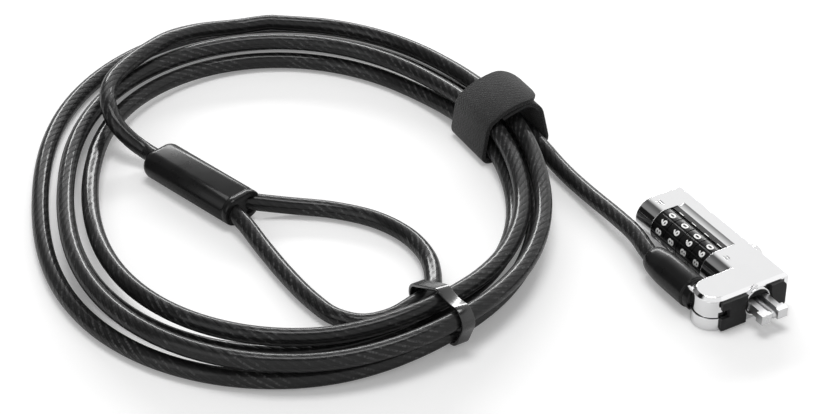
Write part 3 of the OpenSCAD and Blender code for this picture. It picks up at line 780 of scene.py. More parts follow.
def hull_line(rounds: list[Point], step: float) -> list[Flat]:
    """Returns the outline of a belt round several circles, evenly spaced and anticlockwise.

    Args:
        rounds: The circles, each with its centre and its radius.
        step: The distance between two points.

    Returns:
        The outline's points.
    """
    cloud = sorted({(round(x + r * math.cos(a), 5), round(y + r * math.sin(a), 5)) for x, y, r in rounds
                    for a in (math.pi * k / 90 for k in range(180))})
    hull: list[Flat] = []
    for run in (cloud, cloud[::-1]):
        part: list[Flat] = []
        for p in run:
            while len(part) > 1 and ((part[-1][0] - part[-2][0]) * (p[1] - part[-2][1])
                                     - (part[-1][1] - part[-2][1]) * (p[0] - part[-2][0])) <= 0:
                part.pop()
            part.append(p)
        hull += part[:-1]
    ring = evenly([Vector((x, y, 0)) for x, y in [*hull, hull[0]]], step)
    return [(p.x, p.y) for p in ring[:-1]]


def refined_copy(node: str, name: str, finish: Finish, body: str, slot: str,
                 sharp_degrees: float = 30.0) -> bpy.types.Object:
    """Makes a smooth-shaded copy of a CAD node, whose flats stay flat, and shows it instead.

    Args:
        node: The CAD node.
        name: The copy's name.
        finish: The copy's finish.
        body: The body that it rides on.
        slot: Not used.
        sharp_degrees: Edges sharper than this stay sharp.

    Returns:
        The copy.
    """
    shell = bmesh.new()
    shell.from_mesh(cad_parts[node].data)
    bmesh.ops.remove_doubles(shell, verts=shell.verts, dist=2e-6)
    bmesh.ops.dissolve_limit(shell, angle_limit=math.radians(0.4), verts=shell.verts, edges=shell.edges)
    mesh = bpy.data.meshes.new(name)
    shell.to_mesh(mesh)
    shell.free()
    for attribute in [a.name for a in mesh.attributes if a.name == "custom_normal"]:
        mesh.attributes.remove(mesh.attributes[attribute])
    mesh.shade_smooth()
    mesh.set_sharp_from_angle(angle=math.radians(sharp_degrees))
    made = object_of(name, mesh, finish)
    weighted = made.modifiers.new("flats", "WEIGHTED_NORMAL")
    weighted.keep_sharp = True
    weighted.weight = 80
    bake_modifiers(made)
    return settle(made, body, slot, node)


def bake_modifiers(made: bpy.types.Object) -> None:
    """Turns an object's modifiers into plain mesh."""
    bpy.context.view_layer.update()
    graph = bpy.context.evaluated_depsgraph_get()
    shown = made.evaluated_get(graph)
    mesh = bpy.data.meshes.new_from_object(shown, preserve_all_data_layers=True, depsgraph=graph)
    made.modifiers.clear()
    mesh.name = made.name
    made.data = mesh


# --------------------------------------------------------------------- cable


def ease(s: float) -> float:
    """Returns a smooth step from 0 to 1."""
    s = min(1.0, max(0.0, s))
    return s * s * (3 - 2 * s)


def bump_at(height: float, middle: float, reach: float, angle: float) -> float:
    """Returns a rounded rise of that height round the middle angle, in degrees."""
    away = abs((angle - middle + 180) % 360 - 180)
    return height * (1 + math.cos(math.pi * away / reach)) / 2 if away < reach else 0.0


@dataclass
class CoilRoute:
    """The coil's rule: loops spiral in on the floor, climb, and spiral out again on top."""

    middle: Flat = (-73.2, 103.9)
    radius: float = 67.8
    span: Flat = (0.045, 4.22)
    start_angle: float = -17.0
    oval: Flat = (7.0, 70.7)
    corner: Flat = (1.2, 85.8)
    pitch: float = 8.0
    pitch_side: Flat = (0.6, 118.0)
    pitch_oval: Flat = (2.0, 57.2)
    spiral_out: float = 1.22
    start_inset: float = 1.9
    start_blend: float = 0.4
    turn_back: float = 2.43
    upper_shift: Flat = (-0.9, -4.6)
    rise: float = CABLE_D + 0.7
    lifts: tuple[Point, ...] = ((1.75, -6.5, 35.0), (1.25, -86.0, 30.0))

    def at(self, t: float) -> Vector:
        """Returns the middle of the cable after t turns, in millimetres."""
        angle = self.start_angle + 360 * t
        climb = ease((t - self.turn_back) * 2 + 0.5)
        step = self.spiral_out - t if t < self.turn_back else self.spiral_out - 2 * self.turn_back + t
        wide = (self.pitch + self.pitch_side[0] * math.cos(math.radians(angle - self.pitch_side[1]))
                + self.pitch_oval[0] * math.cos(2 * math.radians(angle - self.pitch_oval[1])))
        reach = (self.radius + self.oval[0] * math.cos(2 * math.radians(angle - self.oval[1]))
                 + self.corner[0] * math.cos(3 * math.radians(angle - self.corner[1])) + step * wide
                 - self.start_inset * (1 - ease(t / self.start_blend)))
        return Vector((
            self.middle[0] + self.upper_shift[0] * climb + reach * math.cos(math.radians(angle)),
            self.middle[1] + self.upper_shift[1] * climb + reach * math.sin(math.radians(angle)),
            CABLE_D / 2 + self.rise * climb + sum(bump_at(*lift, angle) for lift in self.lifts),
        ))

    def points(self, per_turn: int = 48, straight: float = 3.0, nearby: float = 0.01) -> list[Vector]:
        """Returns the coil's points, with two straight pieces of cable at each end."""
        first, last = self.span
        count = round(last * per_turn)
        loops = [self.at(first + (last - first) * i / count) for i in range(count + 1)]
        start = (self.at(first + nearby) - loops[0]).normalized() * straight
        end = (loops[-1] - self.at(last - nearby)).normalized() * straight
        return [loops[0] - 2 * start, loops[0] - start, *loops, loops[-1] + end, loops[-1] + 2 * end]


@dataclass
class Cable:
    """The cable from the head's sleeve to the eye, and the eye's loop."""

    coil: CoilRoute = field(default_factory=CoilRoute)
    lead: tuple[Point, ...] = (
        (-11.1, 22, 4.75), (-11.1, 27.5, 4.75), (-10.4, 31.5, 4.75), (-9.4, 35.5, 4.7), (-8.7, 40, 4.55),
        (-8.3, 45, 4.2), (-8, 50, 3.8), (-7.75, 56, 3.3), (-7.5, 62, 2.9), (-7.25, 69, 2.7), (-6.9, 76, 2.9),
        (-6.45, 83, 3.5), (-6.1, 90, 4.05),
    )
    tail: tuple[Point, ...] = (
        (-50.5, 177.2, 7.4), (-61.9, 178.2, 9), (-73, 174.9, 11.5), (-80.7, 171.3, 12.3),
        (-88.5, 167.4, 12.4), (-95.4, 162.6, 12.4), (-99.7, 157.4, 12.2), (-102.4, 151.3, 11.5),
        (-103, 146.2, 9.2), (-101.3, 141, 6.3), (-98.75, 136.6, 4.05), (-97.6, 132.3, 4.05),
    )
    loop: tuple[Point, ...] = (
        (-87.5, 103.1, 4.05), (-83, 100.2, 3.4), (-76.8, 96.3, 2.6), (-67.9, 89.3, 2.25), (-60.7, 80, 2.25),
        (-57.2, 69.5, 2.25), (-57.6, 59.3, 2.3), (-61.3, 50.5, 2.9), (-65.5, 44.9, 3.5), (-71.5, 42.9, 3.5),
        (-78.4, 42.1, 2.8), (-85, 44.2, 2.3), (-89.5, 49.8, 2.25), (-91.2, 58, 2.25), (-91.7, 70, 2.25),
        (-91.3, 84, 2.4), (-91.1, 94, 3.3), (-91.7, 101.8, 4.05),
    )
    eye_exit: Point = (-88.8, 99.5, 4.05)
    step: float = 1.2
    sides: int = 20

    def run(self, name: str, points: list[Vector]) -> tuple[bpy.types.Object, list[Vector]]:
        """Makes a jacketed tube through the points, and returns it with the line that it follows."""
        line = smooth_line([row(p) for p in points], self.step * MM)
        mesh = sweep_tube(name, line, CABLE_D / 2 * MM, self.sides)
        return object_of(name, mesh, Finishes.JACKET), line

    def build(self, pieces_on_it: list[bpy.types.Object], eye_sleeve: bpy.types.Object) -> None:
        """Makes the long cable and the eye's loop.

        Args:
            pieces_on_it: Not used.
            eye_sleeve: Not used.
        """
        points = [Vector(p) for p in self.lead] + self.coil.points() + [Vector(p) for p in self.tail]
        cable, line = self.run("cable_run", points)
        settle(cable, "cable", "cable_jacket", "cable_lead", "cable_coil", "cable_tail")
        eye, ring = self.run("eye_cable", [Vector(p) for p in self.loop])
        settle(eye, "cable", "cable_jacket", "eye_loop")
        LOG.info("cable %.3f m, eye %.3f m", line_length(line), line_length(ring))


@dataclass
class EyeSleeve:
    """The oval moulded sleeve over the crimp that closes the eye."""

    rear: Flat = (-97.6, 132.3)
    turn: float = -75.0
    length: float = 34.0
    width: float = 12.2
    height: float = 8.1
    shoulder: float = 2.6
    bore_inset: float = 3.9
    sides: int = 72

    def ring(self, x: float, inset: float) -> list[Vector]:
        """Returns the oval at x, drawn in by inset, in metres in the row's frame."""
        angle = math.radians(self.turn)
        half, round_r = (self.width - self.height) / 2, self.height / 2 - inset
        points = []
        for k in range(self.sides):
            a = 2 * math.pi * (k + 0.5) / self.sides
            across = round_r * math.cos(a) + math.copysign(half, math.cos(a))
            up = round_r * math.sin(a) + self.height / 2
            points.append(row((self.rear[0] + x * math.cos(angle) - across * math.sin(angle),
                               self.rear[1] + x * math.sin(angle) + across * math.cos(angle), up)))
        return points

    def build(self) -> bpy.types.Object:
        """Makes the sleeve with a rounded rear end, and a bead and a square front."""
        front, curve = self.length, self.shoulder
        turns = [math.pi * k / 16 for k in range(9)]
        line = [(0.0, self.bore_inset)]
        line += [(curve - curve * math.cos(a), curve - curve * math.sin(a)) for a in turns]
        line += [(front - 2.6, 0.0), (front - 2.2, 0.28), (front - 1.9, 0.28), (front - 1.5, 0.0)]
        line += [(front - 0.5, 0.0), (front - 0.15, 0.15), (front, 0.5), (front, 1.5), (front - 0.7, 1.9),
                 (front - 0.7, self.bore_inset)]
        rings = [self.ring(x, inset) for x, inset in line]
        around = [k / self.sides for k in range(self.sides + 1)]
        mesh = loft("eye_sleeve_shell", rings, [i * MM for i in range(len(line))], around)
        made = object_of("eye_sleeve_shell", mesh, Finishes.SLEEVE)
        return settle(made, "cable", "sleeve_plastic", "eye_sleeve")


@dataclass
class HeadSleeve:
    """The moulded sleeve where the cable leaves the knuckle, and the knuckle itself."""

    x: float = -11.1
    front: float = 9.8
    rear: float = 27.5
    radius: float = 4.3
    rear_radius: float = 3.25
    hinge: Flat = (-9.9, 4.75)
    cuff_front: float = 8.0
    cuff_radius: float = 3.9
    cuff_clear: float = 5.1
    sides: int = 96

    def front_at(self, x: float) -> float:
        """Returns where the sleeve starts at x: its outer side follows the hinge's ears."""
        if x > self.hinge[0]:
            return self.front
        gap = math.sqrt(max(self.cuff_clear**2 - (x - self.hinge[0]) ** 2, 0.0))
        return min(self.front, max(self.cuff_front, self.hinge[1] + gap))

    def ring(self, radius: float, y: float) -> list[Vector]:
        """Returns a ring at y, or at -y past the sleeve's front where y is not above 0."""
        made = []
        for k in range(self.sides):
            a = 2 * math.pi * k / self.sides
            x = self.x + radius * math.sin(a)
            made.append(row((x, y if y > 0 else self.front_at(x) - y, AXIS_Z + radius * math.cos(a))))
        return made

    def build(self) -> None:
        """Makes the sleeve's swelling body with a cuff and a fine bead in front."""
        near = [(1e-5, 0.0), (2.1, 0.0), (self.cuff_radius - 0.2, 0.0), (self.cuff_radius - 0.05, -0.05),
                (self.cuff_radius, -0.2)]
        points = [(self.cuff_radius, self.front + 0.3), (4.12, self.front + 0.4), (4.12, self.front + 0.65),
                  (self.radius, self.front + 0.85), (self.radius, self.front + 9.5),
                  (4.2, self.front + 12.5), (self.rear_radius + 0.45, self.rear - 1.6),
                  (self.rear_radius - 0.2, self.rear), (2.3, self.rear), (1e-5, self.rear - 0.4)]
        radii = [0, 0.1, 0.08, 0.15, 2.0, 2.0, 0.9, 0.35, 0.1, 0]
        rings = [self.ring(r, y) for r, y in [*near, *rounded(points, radii)]]
        around = [k / self.sides for k in range(self.sides + 1)]
        mesh = loft("head_sleeve_shell", rings, [i * MM for i in range(len(rings))], around)
        made = object_of("head_sleeve_shell", mesh, Finishes.SLEEVE)
        settle(made, "cable", "sleeve_plastic", "cable_sleeve")
        refined_copy("cable_knuckle", "knuckle", Finishes.POLISHED, "cable", "polished_metal")


@dataclass
class StrapAndTie:
    """The hook-and-loop strap and the plastic tie that hold the coil."""

    strap_at: Flat = (-10.74, 97.6)
    strap_turn: float = -2.7
    strap_width: float = 17.3
    strap_thickness: float = 1.15
    strap_corner: float = 5.0
    strap_rounds: tuple[Point, ...] = (
        (-8.5, 2.6, 2.6), (6.55, 3.2, 3.2), (2.4, 9.9, 5.75), (-6.2, 9.2, 3.85),
    )
    strap_inset: float = 0.6
    strap_start: Flat = (-4.4, 13.1)
    strap_leave: Flat = (-8.9, 11.0)
    lap: tuple[Flat, ...] = (
        (-8.1, 12.25), (-6.7, 13.2), (-5.1, 14.15), (-3.4, 14.9), (-1.7, 15.4), (0.5, 15.9), (2.5, 16.1),
        (4.5, 15.95), (6.2, 15.55), (7.0, 15.25),
    )
    tie_x: float = -68.0
    tie_width: float = 3.6
    tie_thickness: float = 0.8
    tie_inner: float = 2.85
    tie_rounds: tuple[Flat, ...] = ((29.0, 3.65), (44.6, 3.65), (26.7, 8.7), (34.8, 8.7))
    tie_dip: float = 0.55
    step: float = 0.5

    def strap_line(self) -> list[Flat]:
        """Returns the middle line of the strap: once round the coil, then over its own start."""
        ring = hull_line([(x, z, r - self.strap_inset) for x, z, r in self.strap_rounds], self.step)[::-1]
        start = min(range(len(ring)), key=lambda i: math.dist(ring[i], self.strap_start))
        once = ring[start:] + ring[:start]
        leave = min(range(len(once)), key=lambda i: math.dist(once[i], self.strap_leave))
        path = [Vector((x, z, 0)) for x, z in [*once[:leave], *self.lap]]
        return [(p.x, p.y) for p in smooth_line(path, self.step)]

    def build_strap(self) -> bpy.types.Object:
        """Makes the strap as one strip with a free, round-cornered tab."""
        place = (Matrix.Translation((self.strap_at[0], self.strap_at[1], 0))
                 @ Matrix.Rotation(math.radians(self.strap_turn), 4, "Z"))
        line = self.strap_line()
        section = BandSection(self.strap_width / 2, self.strap_thickness, 0.3)
        mesh = sweep_band("strap_strip", line, section, place, False, end_round=self.strap_corner)
        made = object_of("strap_strip", mesh, Finishes.STRAP)
        settle(made, "cable", "strap_fabric", "coil_strap")
        return made

    def build_tie(self) -> bpy.types.Object:
        """Makes the tie as a closed band that dips a little between the strands."""
        middle = self.tie_inner + self.tie_thickness / 2
        ring = hull_line([(y, z, middle) for y, z in self.tie_rounds], self.step)
        (y1, z1), (y2, _) = self.tie_rounds[2], self.tie_rounds[3]
        dip = []
        for y, z in ring:
            if z > z1 and y1 < y < y2:
                z -= self.tie_dip * math.sin(math.pi * (y - y1) / (y2 - y1))
            dip.append((y, z))
        section = BandSection(self.tie_width / 2, self.tie_thickness, 0.22)
        place = Matrix.Translation((self.tie_x, 0, 0)) @ Matrix.Rotation(math.radians(90), 4, "Z")
        mesh = sweep_band("tie_band", dip, section, place, True)
        made = object_of("tie_band", mesh, Finishes.TIE)
        return settle(made, "cable", "tie_plastic", "coil_tie")


# ---------------------------------------------------------------------- head


class GeometryTree:
    """A Geometry Nodes tree with named inputs, built in the script and applied to one object."""

    def __init__(self, name: str, inputs: dict[str, tuple[str, object]]) -> None:
        """Makes the tree with its geometry sockets and the given inputs.

        Args:
            name: The tree's name.
            inputs: The socket type and the value of each input, by name.
        """
        self.tree = bpy.data.node_groups.new(name, "GeometryNodeTree")
        self.graph = Graph(self.tree)
        face = self.tree.interface
        face.new_socket(name="Geometry", in_out="INPUT", socket_type="NodeSocketGeometry")
        face.new_socket(name="Geometry", in_out="OUTPUT", socket_type="NodeSocketGeometry")
        self.values = {}
        for title, (kind, value) in inputs.items():
            self.values[face.new_socket(name=title, in_out="INPUT", socket_type=kind).identifier] = value
        self.start = self.graph.add("NodeGroupInput")
        self.end = self.graph.add("NodeGroupOutput")

    def finish_with(self, geometry: bpy.types.NodeSocket) -> None:
        """Ends the tree in Realize Instances and Set Material."""
        real = self.graph.add("GeometryNodeRealizeInstances")
        dress = self.graph.add("GeometryNodeSetMaterial")
        self.graph.put(real.inputs["Geometry"], geometry)
        self.graph.put(dress.inputs["Geometry"], real.outputs["Geometry"])
        self.graph.put(dress.inputs["Material"], self.start.outputs["Material"])
        self.graph.put(self.end.inputs["Geometry"], dress.outputs["Geometry"])

    def apply_to(self, made: bpy.types.Object) -> None:
        """Runs the tree on the object and keeps the result as plain mesh."""
        modifier = made.modifiers.new(self.tree.name, "NODES")
        modifier.node_group = self.tree
        for identifier, value in self.values.items():
            modifier[identifier] = value
        bake_modifiers(made)


@dataclass
class DialStack:
    """The four numbered dials and the index bar beside them."""

    radius: float = 4.6
    front: float = 18.95
    pitch: float = 5.22
    count: int = 4
    digit_height: float = 2.2
    digit_width: float = 1.6
    digit_shift: float = -0.3
    top_digit_turn: float = 3.7
    tick_at: Point = (2.1, -0.9, 9.3)
    tick_size: Point = (0.24, 1.7, 0.06)

    def dial_y(self, index: int) -> float:
        """Returns the middle of dial index, counted from the rear, in millimetres."""
        return self.front + (self.count - index) * self.pitch

    def digit_strip(self, name: str) -> bpy.types.Object:
        """Makes the ten digits as one flat strip of thin solids, in millimetres, in their order."""
        parts = bmesh.new()
        spacing = 2 * math.pi * self.radius / 10
        for digit in range(10):
            text = bpy.data.curves.new(f"{name}_{digit}", "FONT")
            text.body, text.align_x, text.align_y = str(digit), "CENTER", "CENTER"
            text.size, text.offset, text.extrude, text.resolution_u = 1.0, 0.03, 0.02, 5
            holder = bpy.data.objects.new(text.name, text)
            bpy.context.scene.collection.objects.link(holder)
            bpy.context.view_layer.update()
            shown = holder.evaluated_get(bpy.context.evaluated_depsgraph_get())
            mesh = bpy.data.meshes.new_from_object(shown)
            xs, ys = [v.co.x for v in mesh.vertices], [v.co.y for v in mesh.vertices]
            tall = self.digit_height / (max(ys) - min(ys))
            wide = tall if digit == 1 else self.digit_width / (max(xs) - min(xs))
            middle = Vector(((max(xs) + min(xs)) / 2, (max(ys) + min(ys)) / 2, 0))
            mesh.transform(Matrix.Diagonal((wide, tall, 1.0, 1.0)) @ Matrix.Translation(-middle))
            mesh.transform(Matrix.Translation((-digit * spacing, 0, 0)))
            parts.from_mesh(mesh)
            bpy.data.objects.remove(holder)
            bpy.data.meshes.remove(mesh)
        bmesh.ops.remove_doubles(parts, verts=parts.verts, dist=1e-4)
        strip = bpy.data.meshes.new(name)
        parts.to_mesh(strip)
        parts.free()
        return object_of(name, strip, None)

    def wrap_tree(self) -> GeometryTree:
        """Builds the tree that bends a strip of digits round a dial."""
        made = GeometryTree("digits_round_dial", {
            "Radius": ("NodeSocketFloat", self.radius),
            "First Turn": ("NodeSocketFloat", math.radians(self.top_digit_turn)),
            "Material": ("NodeSocketMaterial", Finishes.INK.material()),
        })
        graph, start = made.graph, made.start
        split = graph.add("GeometryNodeSubdivideMesh")
        graph.put(split.inputs["Mesh"], start.outputs["Geometry"])
        split.inputs["Level"].default_value = 1
        place = graph.add("ShaderNodeSeparateXYZ")
        graph.put(place.inputs[0], graph.add("GeometryNodeInputPosition").outputs[0])
        turn = graph.maths("DIVIDE", place.outputs["X"], start.outputs["Radius"])
        turn = graph.maths("ADD", turn, start.outputs["First Turn"])
        reach = graph.maths("ADD", place.outputs["Z"], start.outputs["Radius"])
        bent = graph.add("ShaderNodeCombineXYZ")
        sideways = graph.maths("MULTIPLY", reach, graph.maths("SINE", turn))
        graph.put(bent.inputs["X"], graph.maths("MULTIPLY", sideways, -1.0))
        graph.put(bent.inputs["Y"], graph.maths("MULTIPLY", place.outputs["Y"], -1.0))
        graph.put(bent.inputs["Z"], graph.maths("MULTIPLY", reach, graph.maths("COSINE", turn)))
        move = graph.add("GeometryNodeSetPosition")
        graph.put(move.inputs["Geometry"], split.outputs["Mesh"])
        graph.put(move.inputs["Position"], bent.outputs[0])
        made.finish_with(move.outputs["Geometry"])
        return made

    def build(self) -> None:
        """Makes the dials, their digits and the index bar with its marks."""
        wrap = self.wrap_tree()
        for index in range(1, self.count + 1):
            body = f"dial_{index}"
            refined_copy(f"dial_wheel_{index}", f"dial_{index}_ring", Finishes.DIAL, body, "dial_plastic")
            strip = self.digit_strip(f"dial_{index}_digits")
            wrap.apply_to(strip)
            strip.data.transform(Matrix.Translation((0, self.dial_y(index) + self.digit_shift, AXIS_Z)))
            for vertex in strip.data.vertices:
                vertex.co = row(vertex.co)
            turn_outwards(strip.data)
            settle(strip, body, "dial_plastic")
        refined_copy("index_bar", "index_bar_body", Finishes.BAR, "head", "insert_plastic")
        self.build_ticks()

    def build_ticks(self) -> None:
        """Makes the index bar's row of white marks, one beside each dial."""
        made = GeometryTree("index_marks", {
            "Marks": ("NodeSocketInt", self.count),
            "Pitch": ("NodeSocketFloat", self.pitch * MM),
            "Mark Size": ("NodeSocketVector", [size * MM for size in self.tick_size]),
            "Material": ("NodeSocketMaterial", Finishes.INK.material()),
        })
        graph, start = made.graph, made.start
        line = graph.add("GeometryNodeMeshLine", mode="OFFSET")
        graph.put(line.inputs["Count"], start.outputs["Marks"])
        offset = graph.add("ShaderNodeCombineXYZ")
        graph.put(offset.inputs["Y"], start.outputs["Pitch"])
        graph.put(line.inputs["Offset"], offset.outputs[0])
        box = graph.add("GeometryNodeMeshCube")
        graph.put(box.inputs["Size"], start.outputs["Mark Size"])
        rows = graph.add("GeometryNodeInstanceOnPoints")
        graph.put(rows.inputs["Points"], line.outputs["Mesh"])
        graph.put(rows.inputs["Instance"], box.outputs["Mesh"])
        made.finish_with(rows.outputs["Instances"])
        ticks = object_of("index_marks", bpy.data.meshes.new("index_marks"), None)
        made.apply_to(ticks)
        x, shift, z = self.tick_at
        ticks.data.transform(Matrix.Translation(row((x, self.front + shift, z))))
        settle(ticks, "head", "insert_plastic")


def turn_outwards(mesh: bpy.types.Mesh) -> None:
    """Turns a closed mesh's faces outwards."""
    shell = bmesh.new()
    shell.from_mesh(mesh)
    bmesh.ops.recalc_face_normals(shell, faces=shell.faces)
    shell.to_mesh(mesh)
    shell.free()


@dataclass
class Head:
    """The covers, the front insert, the lock tip, the button and the parts inside."""

    ring_outer: float = 4.1
    ring_inner: float = 3.5
    ring_front: float = -0.6

    def build(self) -> None:
        """Dresses every piece of the head."""
        for node, name, finish, slot, sharp in (
            ("top_cover", "cover_upper", Finishes.COVER, "satin_metal", 16.0),
            ("bottom_cover", "cover_lower", Finishes.COVER, "satin_metal", 16.0),
            ("front_insert", "insert", Finishes.INSERT, "insert_plastic", 30.0),
            ("cover_screws", "screws_below", Finishes.STEEL, "hard_steel", 30.0),
        ):
            refined_copy(node, name, finish, "head", slot, sharp)
        self.build_ring()
        refined_copy("hook_left", "hook_l", Finishes.HOOK, "hook_left", "hard_steel")
        refined_copy("hook_right", "hook_r", Finishes.HOOK, "hook_right", "hard_steel")
        refined_copy("locking_spindle", "spindle_and_pin", Finishes.STEEL, "spindle", "hard_steel")
        refined_copy("release_button", "button", Finishes.POLISHED, "button", "polished_metal")
        refined_copy("code_change_screw", "code_screw_turned", Finishes.STEEL, "code_screw", "hard_steel")
        self.dress_inner()

    def build_ring(self) -> None:
        """Makes the bright ring round the lock tip, with rounded rims."""
        outer, inner, front = self.ring_outer, self.ring_inner, self.ring_front
        points = [(inner, 0.0), (inner, front + 0.2), (inner + 0.16, front), (outer - 0.16, front),
                  (outer, front + 0.2), (outer, 0.0)]
        profile = rounded(points, [0, 0.12, 0.1, 0.1, 0.12, 0], steps=3)
        mesh = turned("ring", profile, (0.0, AXIS_Z), ring=True)
        settle(object_of("ring", mesh, Finishes.POLISHED), "head", "polished_metal", "nose_ring")

    def dress_inner(self) -> None:
        """Gives each inner CAD node its own finish."""
        inner = {
            "chassis": Finishes.CASTING, "spindle_tube": Finishes.BRASS, "spindle_spring": Finishes.SPRING,
            "detent_spring": Finishes.SPRING, "hook_pivot_pins": Finishes.STEEL, "hinge_pin": Finishes.STEEL,
            "cable_ferrule": Finishes.CASTING, "eye_crimp": Finishes.CASTING,
        }
        inner.update({f"clutch_hub_{i}": Finishes.BRASS for i in range(1, 5)})
        for node, finish in inner.items():
            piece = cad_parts[node]
            if not piece.material_slots:
                piece.data.materials.append(finish.material())
            for slot in piece.material_slots:
                slot.material = finish.material()
            LOG.info("%s: dressed in %s", node, finish.name)


# -------------------------------------------------------------------- studio


class Side(Enum):
    """Where a lamp stands round the lock."""

    ABOVE = (0.02, 0.16, 1.0)
    LEFT = (-0.9, -0.1, 0.5)
    BEHIND = (0.44, 1.02, 0.48)


@dataclass
class Lamp:
    """One soft lamp: its side, its size in metres, its power in watts and where it is turned to."""

    side: Side
    size: Flat
    power: float
    aim: Point = (-0.04, 0.04, 0.0)

    def build(self) -> None:
        """Makes the lamp and turns it to the lock."""
        data = bpy.data.lights.new(f"lamp_{self.side.name.lower()}", "AREA")
        data.shape, data.size, data.size_y, data.energy = "RECTANGLE", *self.size, self.power
        lamp = bpy.data.objects.new(data.name, data)
        lamp.location = self.side.value
        aim = Vector(self.aim) - lamp.location
        lamp.rotation_euler = aim.to_track_quat("-Z", "Y").to_euler()
        bpy.context.scene.collection.objects.link(lamp)


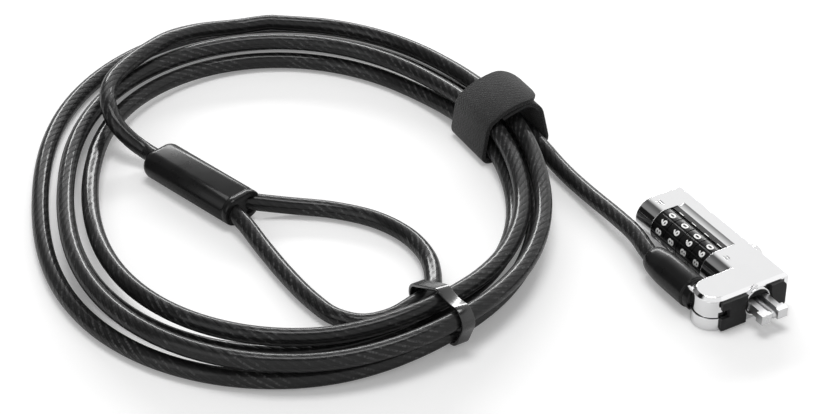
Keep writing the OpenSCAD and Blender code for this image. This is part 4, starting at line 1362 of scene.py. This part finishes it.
@dataclass
class Studio:
    """The floor, the surroundings, the lamps and the camera."""

    eye: Point = (-0.2963, -0.3522, 0.3409)
    azimuth: float = -30.82
    elevation: float = 35.06
    lens: float = 99.81
    sensor: float = 36.0
    floor_half: float = 4.0
    floor_drop: float = 0.0001
    floor_glow: Colour = (0.21, 0.21, 0.21)
    floor_glow_in_gloss: Colour = (0.06, 0.06, 0.06)
    ambient: float = 0.4
    darkest: float = 0.01
    lamps: tuple[Lamp, ...] = (
        Lamp(Side.ABOVE, (0.5, 0.34), 4.0),
        Lamp(Side.LEFT, (0.5, 0.5), 0.6),
        Lamp(Side.BEHIND, (1.0, 0.17), 9.0),
    )

    def build_camera(self) -> None:
        """Makes the camera and sets it on the scene."""
        a, e = math.radians(self.azimuth), math.radians(self.elevation)
        back = Vector((math.sin(a) * math.cos(e), -math.cos(a) * math.cos(e), math.sin(e)))
        data = bpy.data.cameras.new("camera")
        data.lens, data.sensor_width = self.lens, self.sensor
        data.clip_start, data.clip_end = 0.01, 50.0
        camera = bpy.data.objects.new("camera", data)
        camera.location = self.eye
        camera.rotation_euler = (-back).to_track_quat("-Z", "Y").to_euler()
        bpy.context.scene.collection.objects.link(camera)
        bpy.context.scene.camera = camera

    def build_floor(self) -> None:
        """Makes a pale floor that keeps the shadows and reads white where it is lit."""
        mesh = bpy.data.meshes.new("floor")
        h = self.floor_half
        mesh.from_pydata([(-h, -h, 0), (h, -h, 0), (h, h, 0), (-h, h, 0)], [], [(0, 1, 2, 3)])
        mesh.transform(Matrix.Translation((0, 0, -self.floor_drop)))
        made = bpy.data.materials.new("floor_paper")
        made.use_nodes = True
        graph = Graph(made.node_tree)
        shader = made.node_tree.nodes["Principled BSDF"]
        place = graph.add("ShaderNodeTexCoord").outputs["Object"]
        tone = graph.ramp(graph.noise(place, 400.0), 0.3, 0.7, 0.0, 1.0)
        graph.put(shader.inputs["Base Color"], graph.mix(tone, (0.86, 0.86, 0.86), (0.88, 0.88, 0.88)))
        shader.inputs["Roughness"].default_value = 1.0
        shader.inputs["Specular IOR Level"].default_value = 0.0
        shader.inputs["Emission Strength"].default_value = 1.0
        path = graph.add("ShaderNodeLightPath")
        seen = graph.maths("MAXIMUM", path.outputs["Is Camera Ray"], path.outputs["Is Glossy Ray"])
        seen = graph.maths("MAXIMUM", seen, path.outputs["Is Transmission Ray"])
        glow = graph.mix(path.outputs["Is Camera Ray"], self.floor_glow_in_gloss, self.floor_glow)
        graph.put(shader.inputs["Emission Color"], graph.mix(seen, (0.0, 0.0, 0.0), glow))
        floor = bpy.data.objects.new("floor", mesh)
        mesh.materials.append(made)
        bpy.context.scene.collection.objects.link(floor)

    def build_world(self) -> None:
        """Makes surroundings that are seen white and are reflected as soft walls.

        The right-hand wall is white and fades out to the left, a dim panel stands on the left,
        the side that the viewer looks from is pale, and the ceiling is dark.
        """
        world = bpy.data.worlds.new("studio")
        bpy.context.scene.world = world
        world.use_nodes = True
        graph = Graph(world.node_tree)
        background = world.node_tree.nodes["Background"]
        way = graph.add("ShaderNodeSeparateXYZ")
        graph.put(way.inputs[0], graph.add("ShaderNodeTexCoord").outputs["Generated"])
        across, depth, up = (way.outputs[name] for name in "XYZ")
        wall = graph.ramp(across, -0.08, 0.4, 0.0, 1.0)
        wall = graph.maths("ADD", wall, graph.ramp(depth, -0.3, 0.0, 0.12, 0.0))
        wall = graph.maths("MULTIPLY", wall, graph.ramp(across, 0.0, 0.06, 0.0, 1.0))
        panel_edge = graph.ramp(across, -0.62, -0.58, 0.0, 1.0)
        panel = graph.maths("MULTIPLY", panel_edge, graph.ramp(across, -0.5, -0.05, 0.24, 0.11))
        near_side = graph.ramp(depth, 0.0, 0.3, 0.95, 0.0)
        glow = graph.maths("MAXIMUM", graph.maths("MAXIMUM", wall, panel), near_side)
        glow = graph.maths("MULTIPLY", glow, graph.ramp(up, 0.84, 0.9, 1.0, 0.15))
        glow = graph.maths("MAXIMUM", glow, self.darkest)
        path = graph.add("ShaderNodeLightPath")
        graph.put(background.inputs["Color"], (1.0, 1.0, 1.0, 1.0))
        lit = graph.add("ShaderNodeMix", data_type="FLOAT")
        graph.put(lit.inputs["Factor"], path.outputs["Is Glossy Ray"])
        graph.put(lit.inputs["A"], self.ambient)
        graph.put(lit.inputs["B"], glow)
        shown = graph.add("ShaderNodeMix", data_type="FLOAT")
        graph.put(shown.inputs["Factor"], path.outputs["Is Camera Ray"])
        graph.put(shown.inputs["A"], lit.outputs["Result"])
        graph.put(shown.inputs["B"], 1.0)
        graph.put(background.inputs["Strength"], shown.outputs["Result"])

    def build(self) -> None:
        """Makes the surroundings of the lock."""
        bpy.context.scene.view_settings.view_transform = "Standard"
        self.build_floor()
        self.build_world()
        for lamp in self.lamps:
            lamp.build()


def main() -> None:
    """Builds the cable lock and its studio."""
    logging.basicConfig(level=logging.INFO, format="%(name)s: %(message)s")
    studio = Studio()
    studio.build_camera()
    holders = StrapAndTie()
    held = [holders.build_strap(), holders.build_tie()]
    Cable().build(held, EyeSleeve().build())
    HeadSleeve().build()
    Head().build()
    DialStack().build()
    studio.build()


if __name__ == "__main__":
    main()
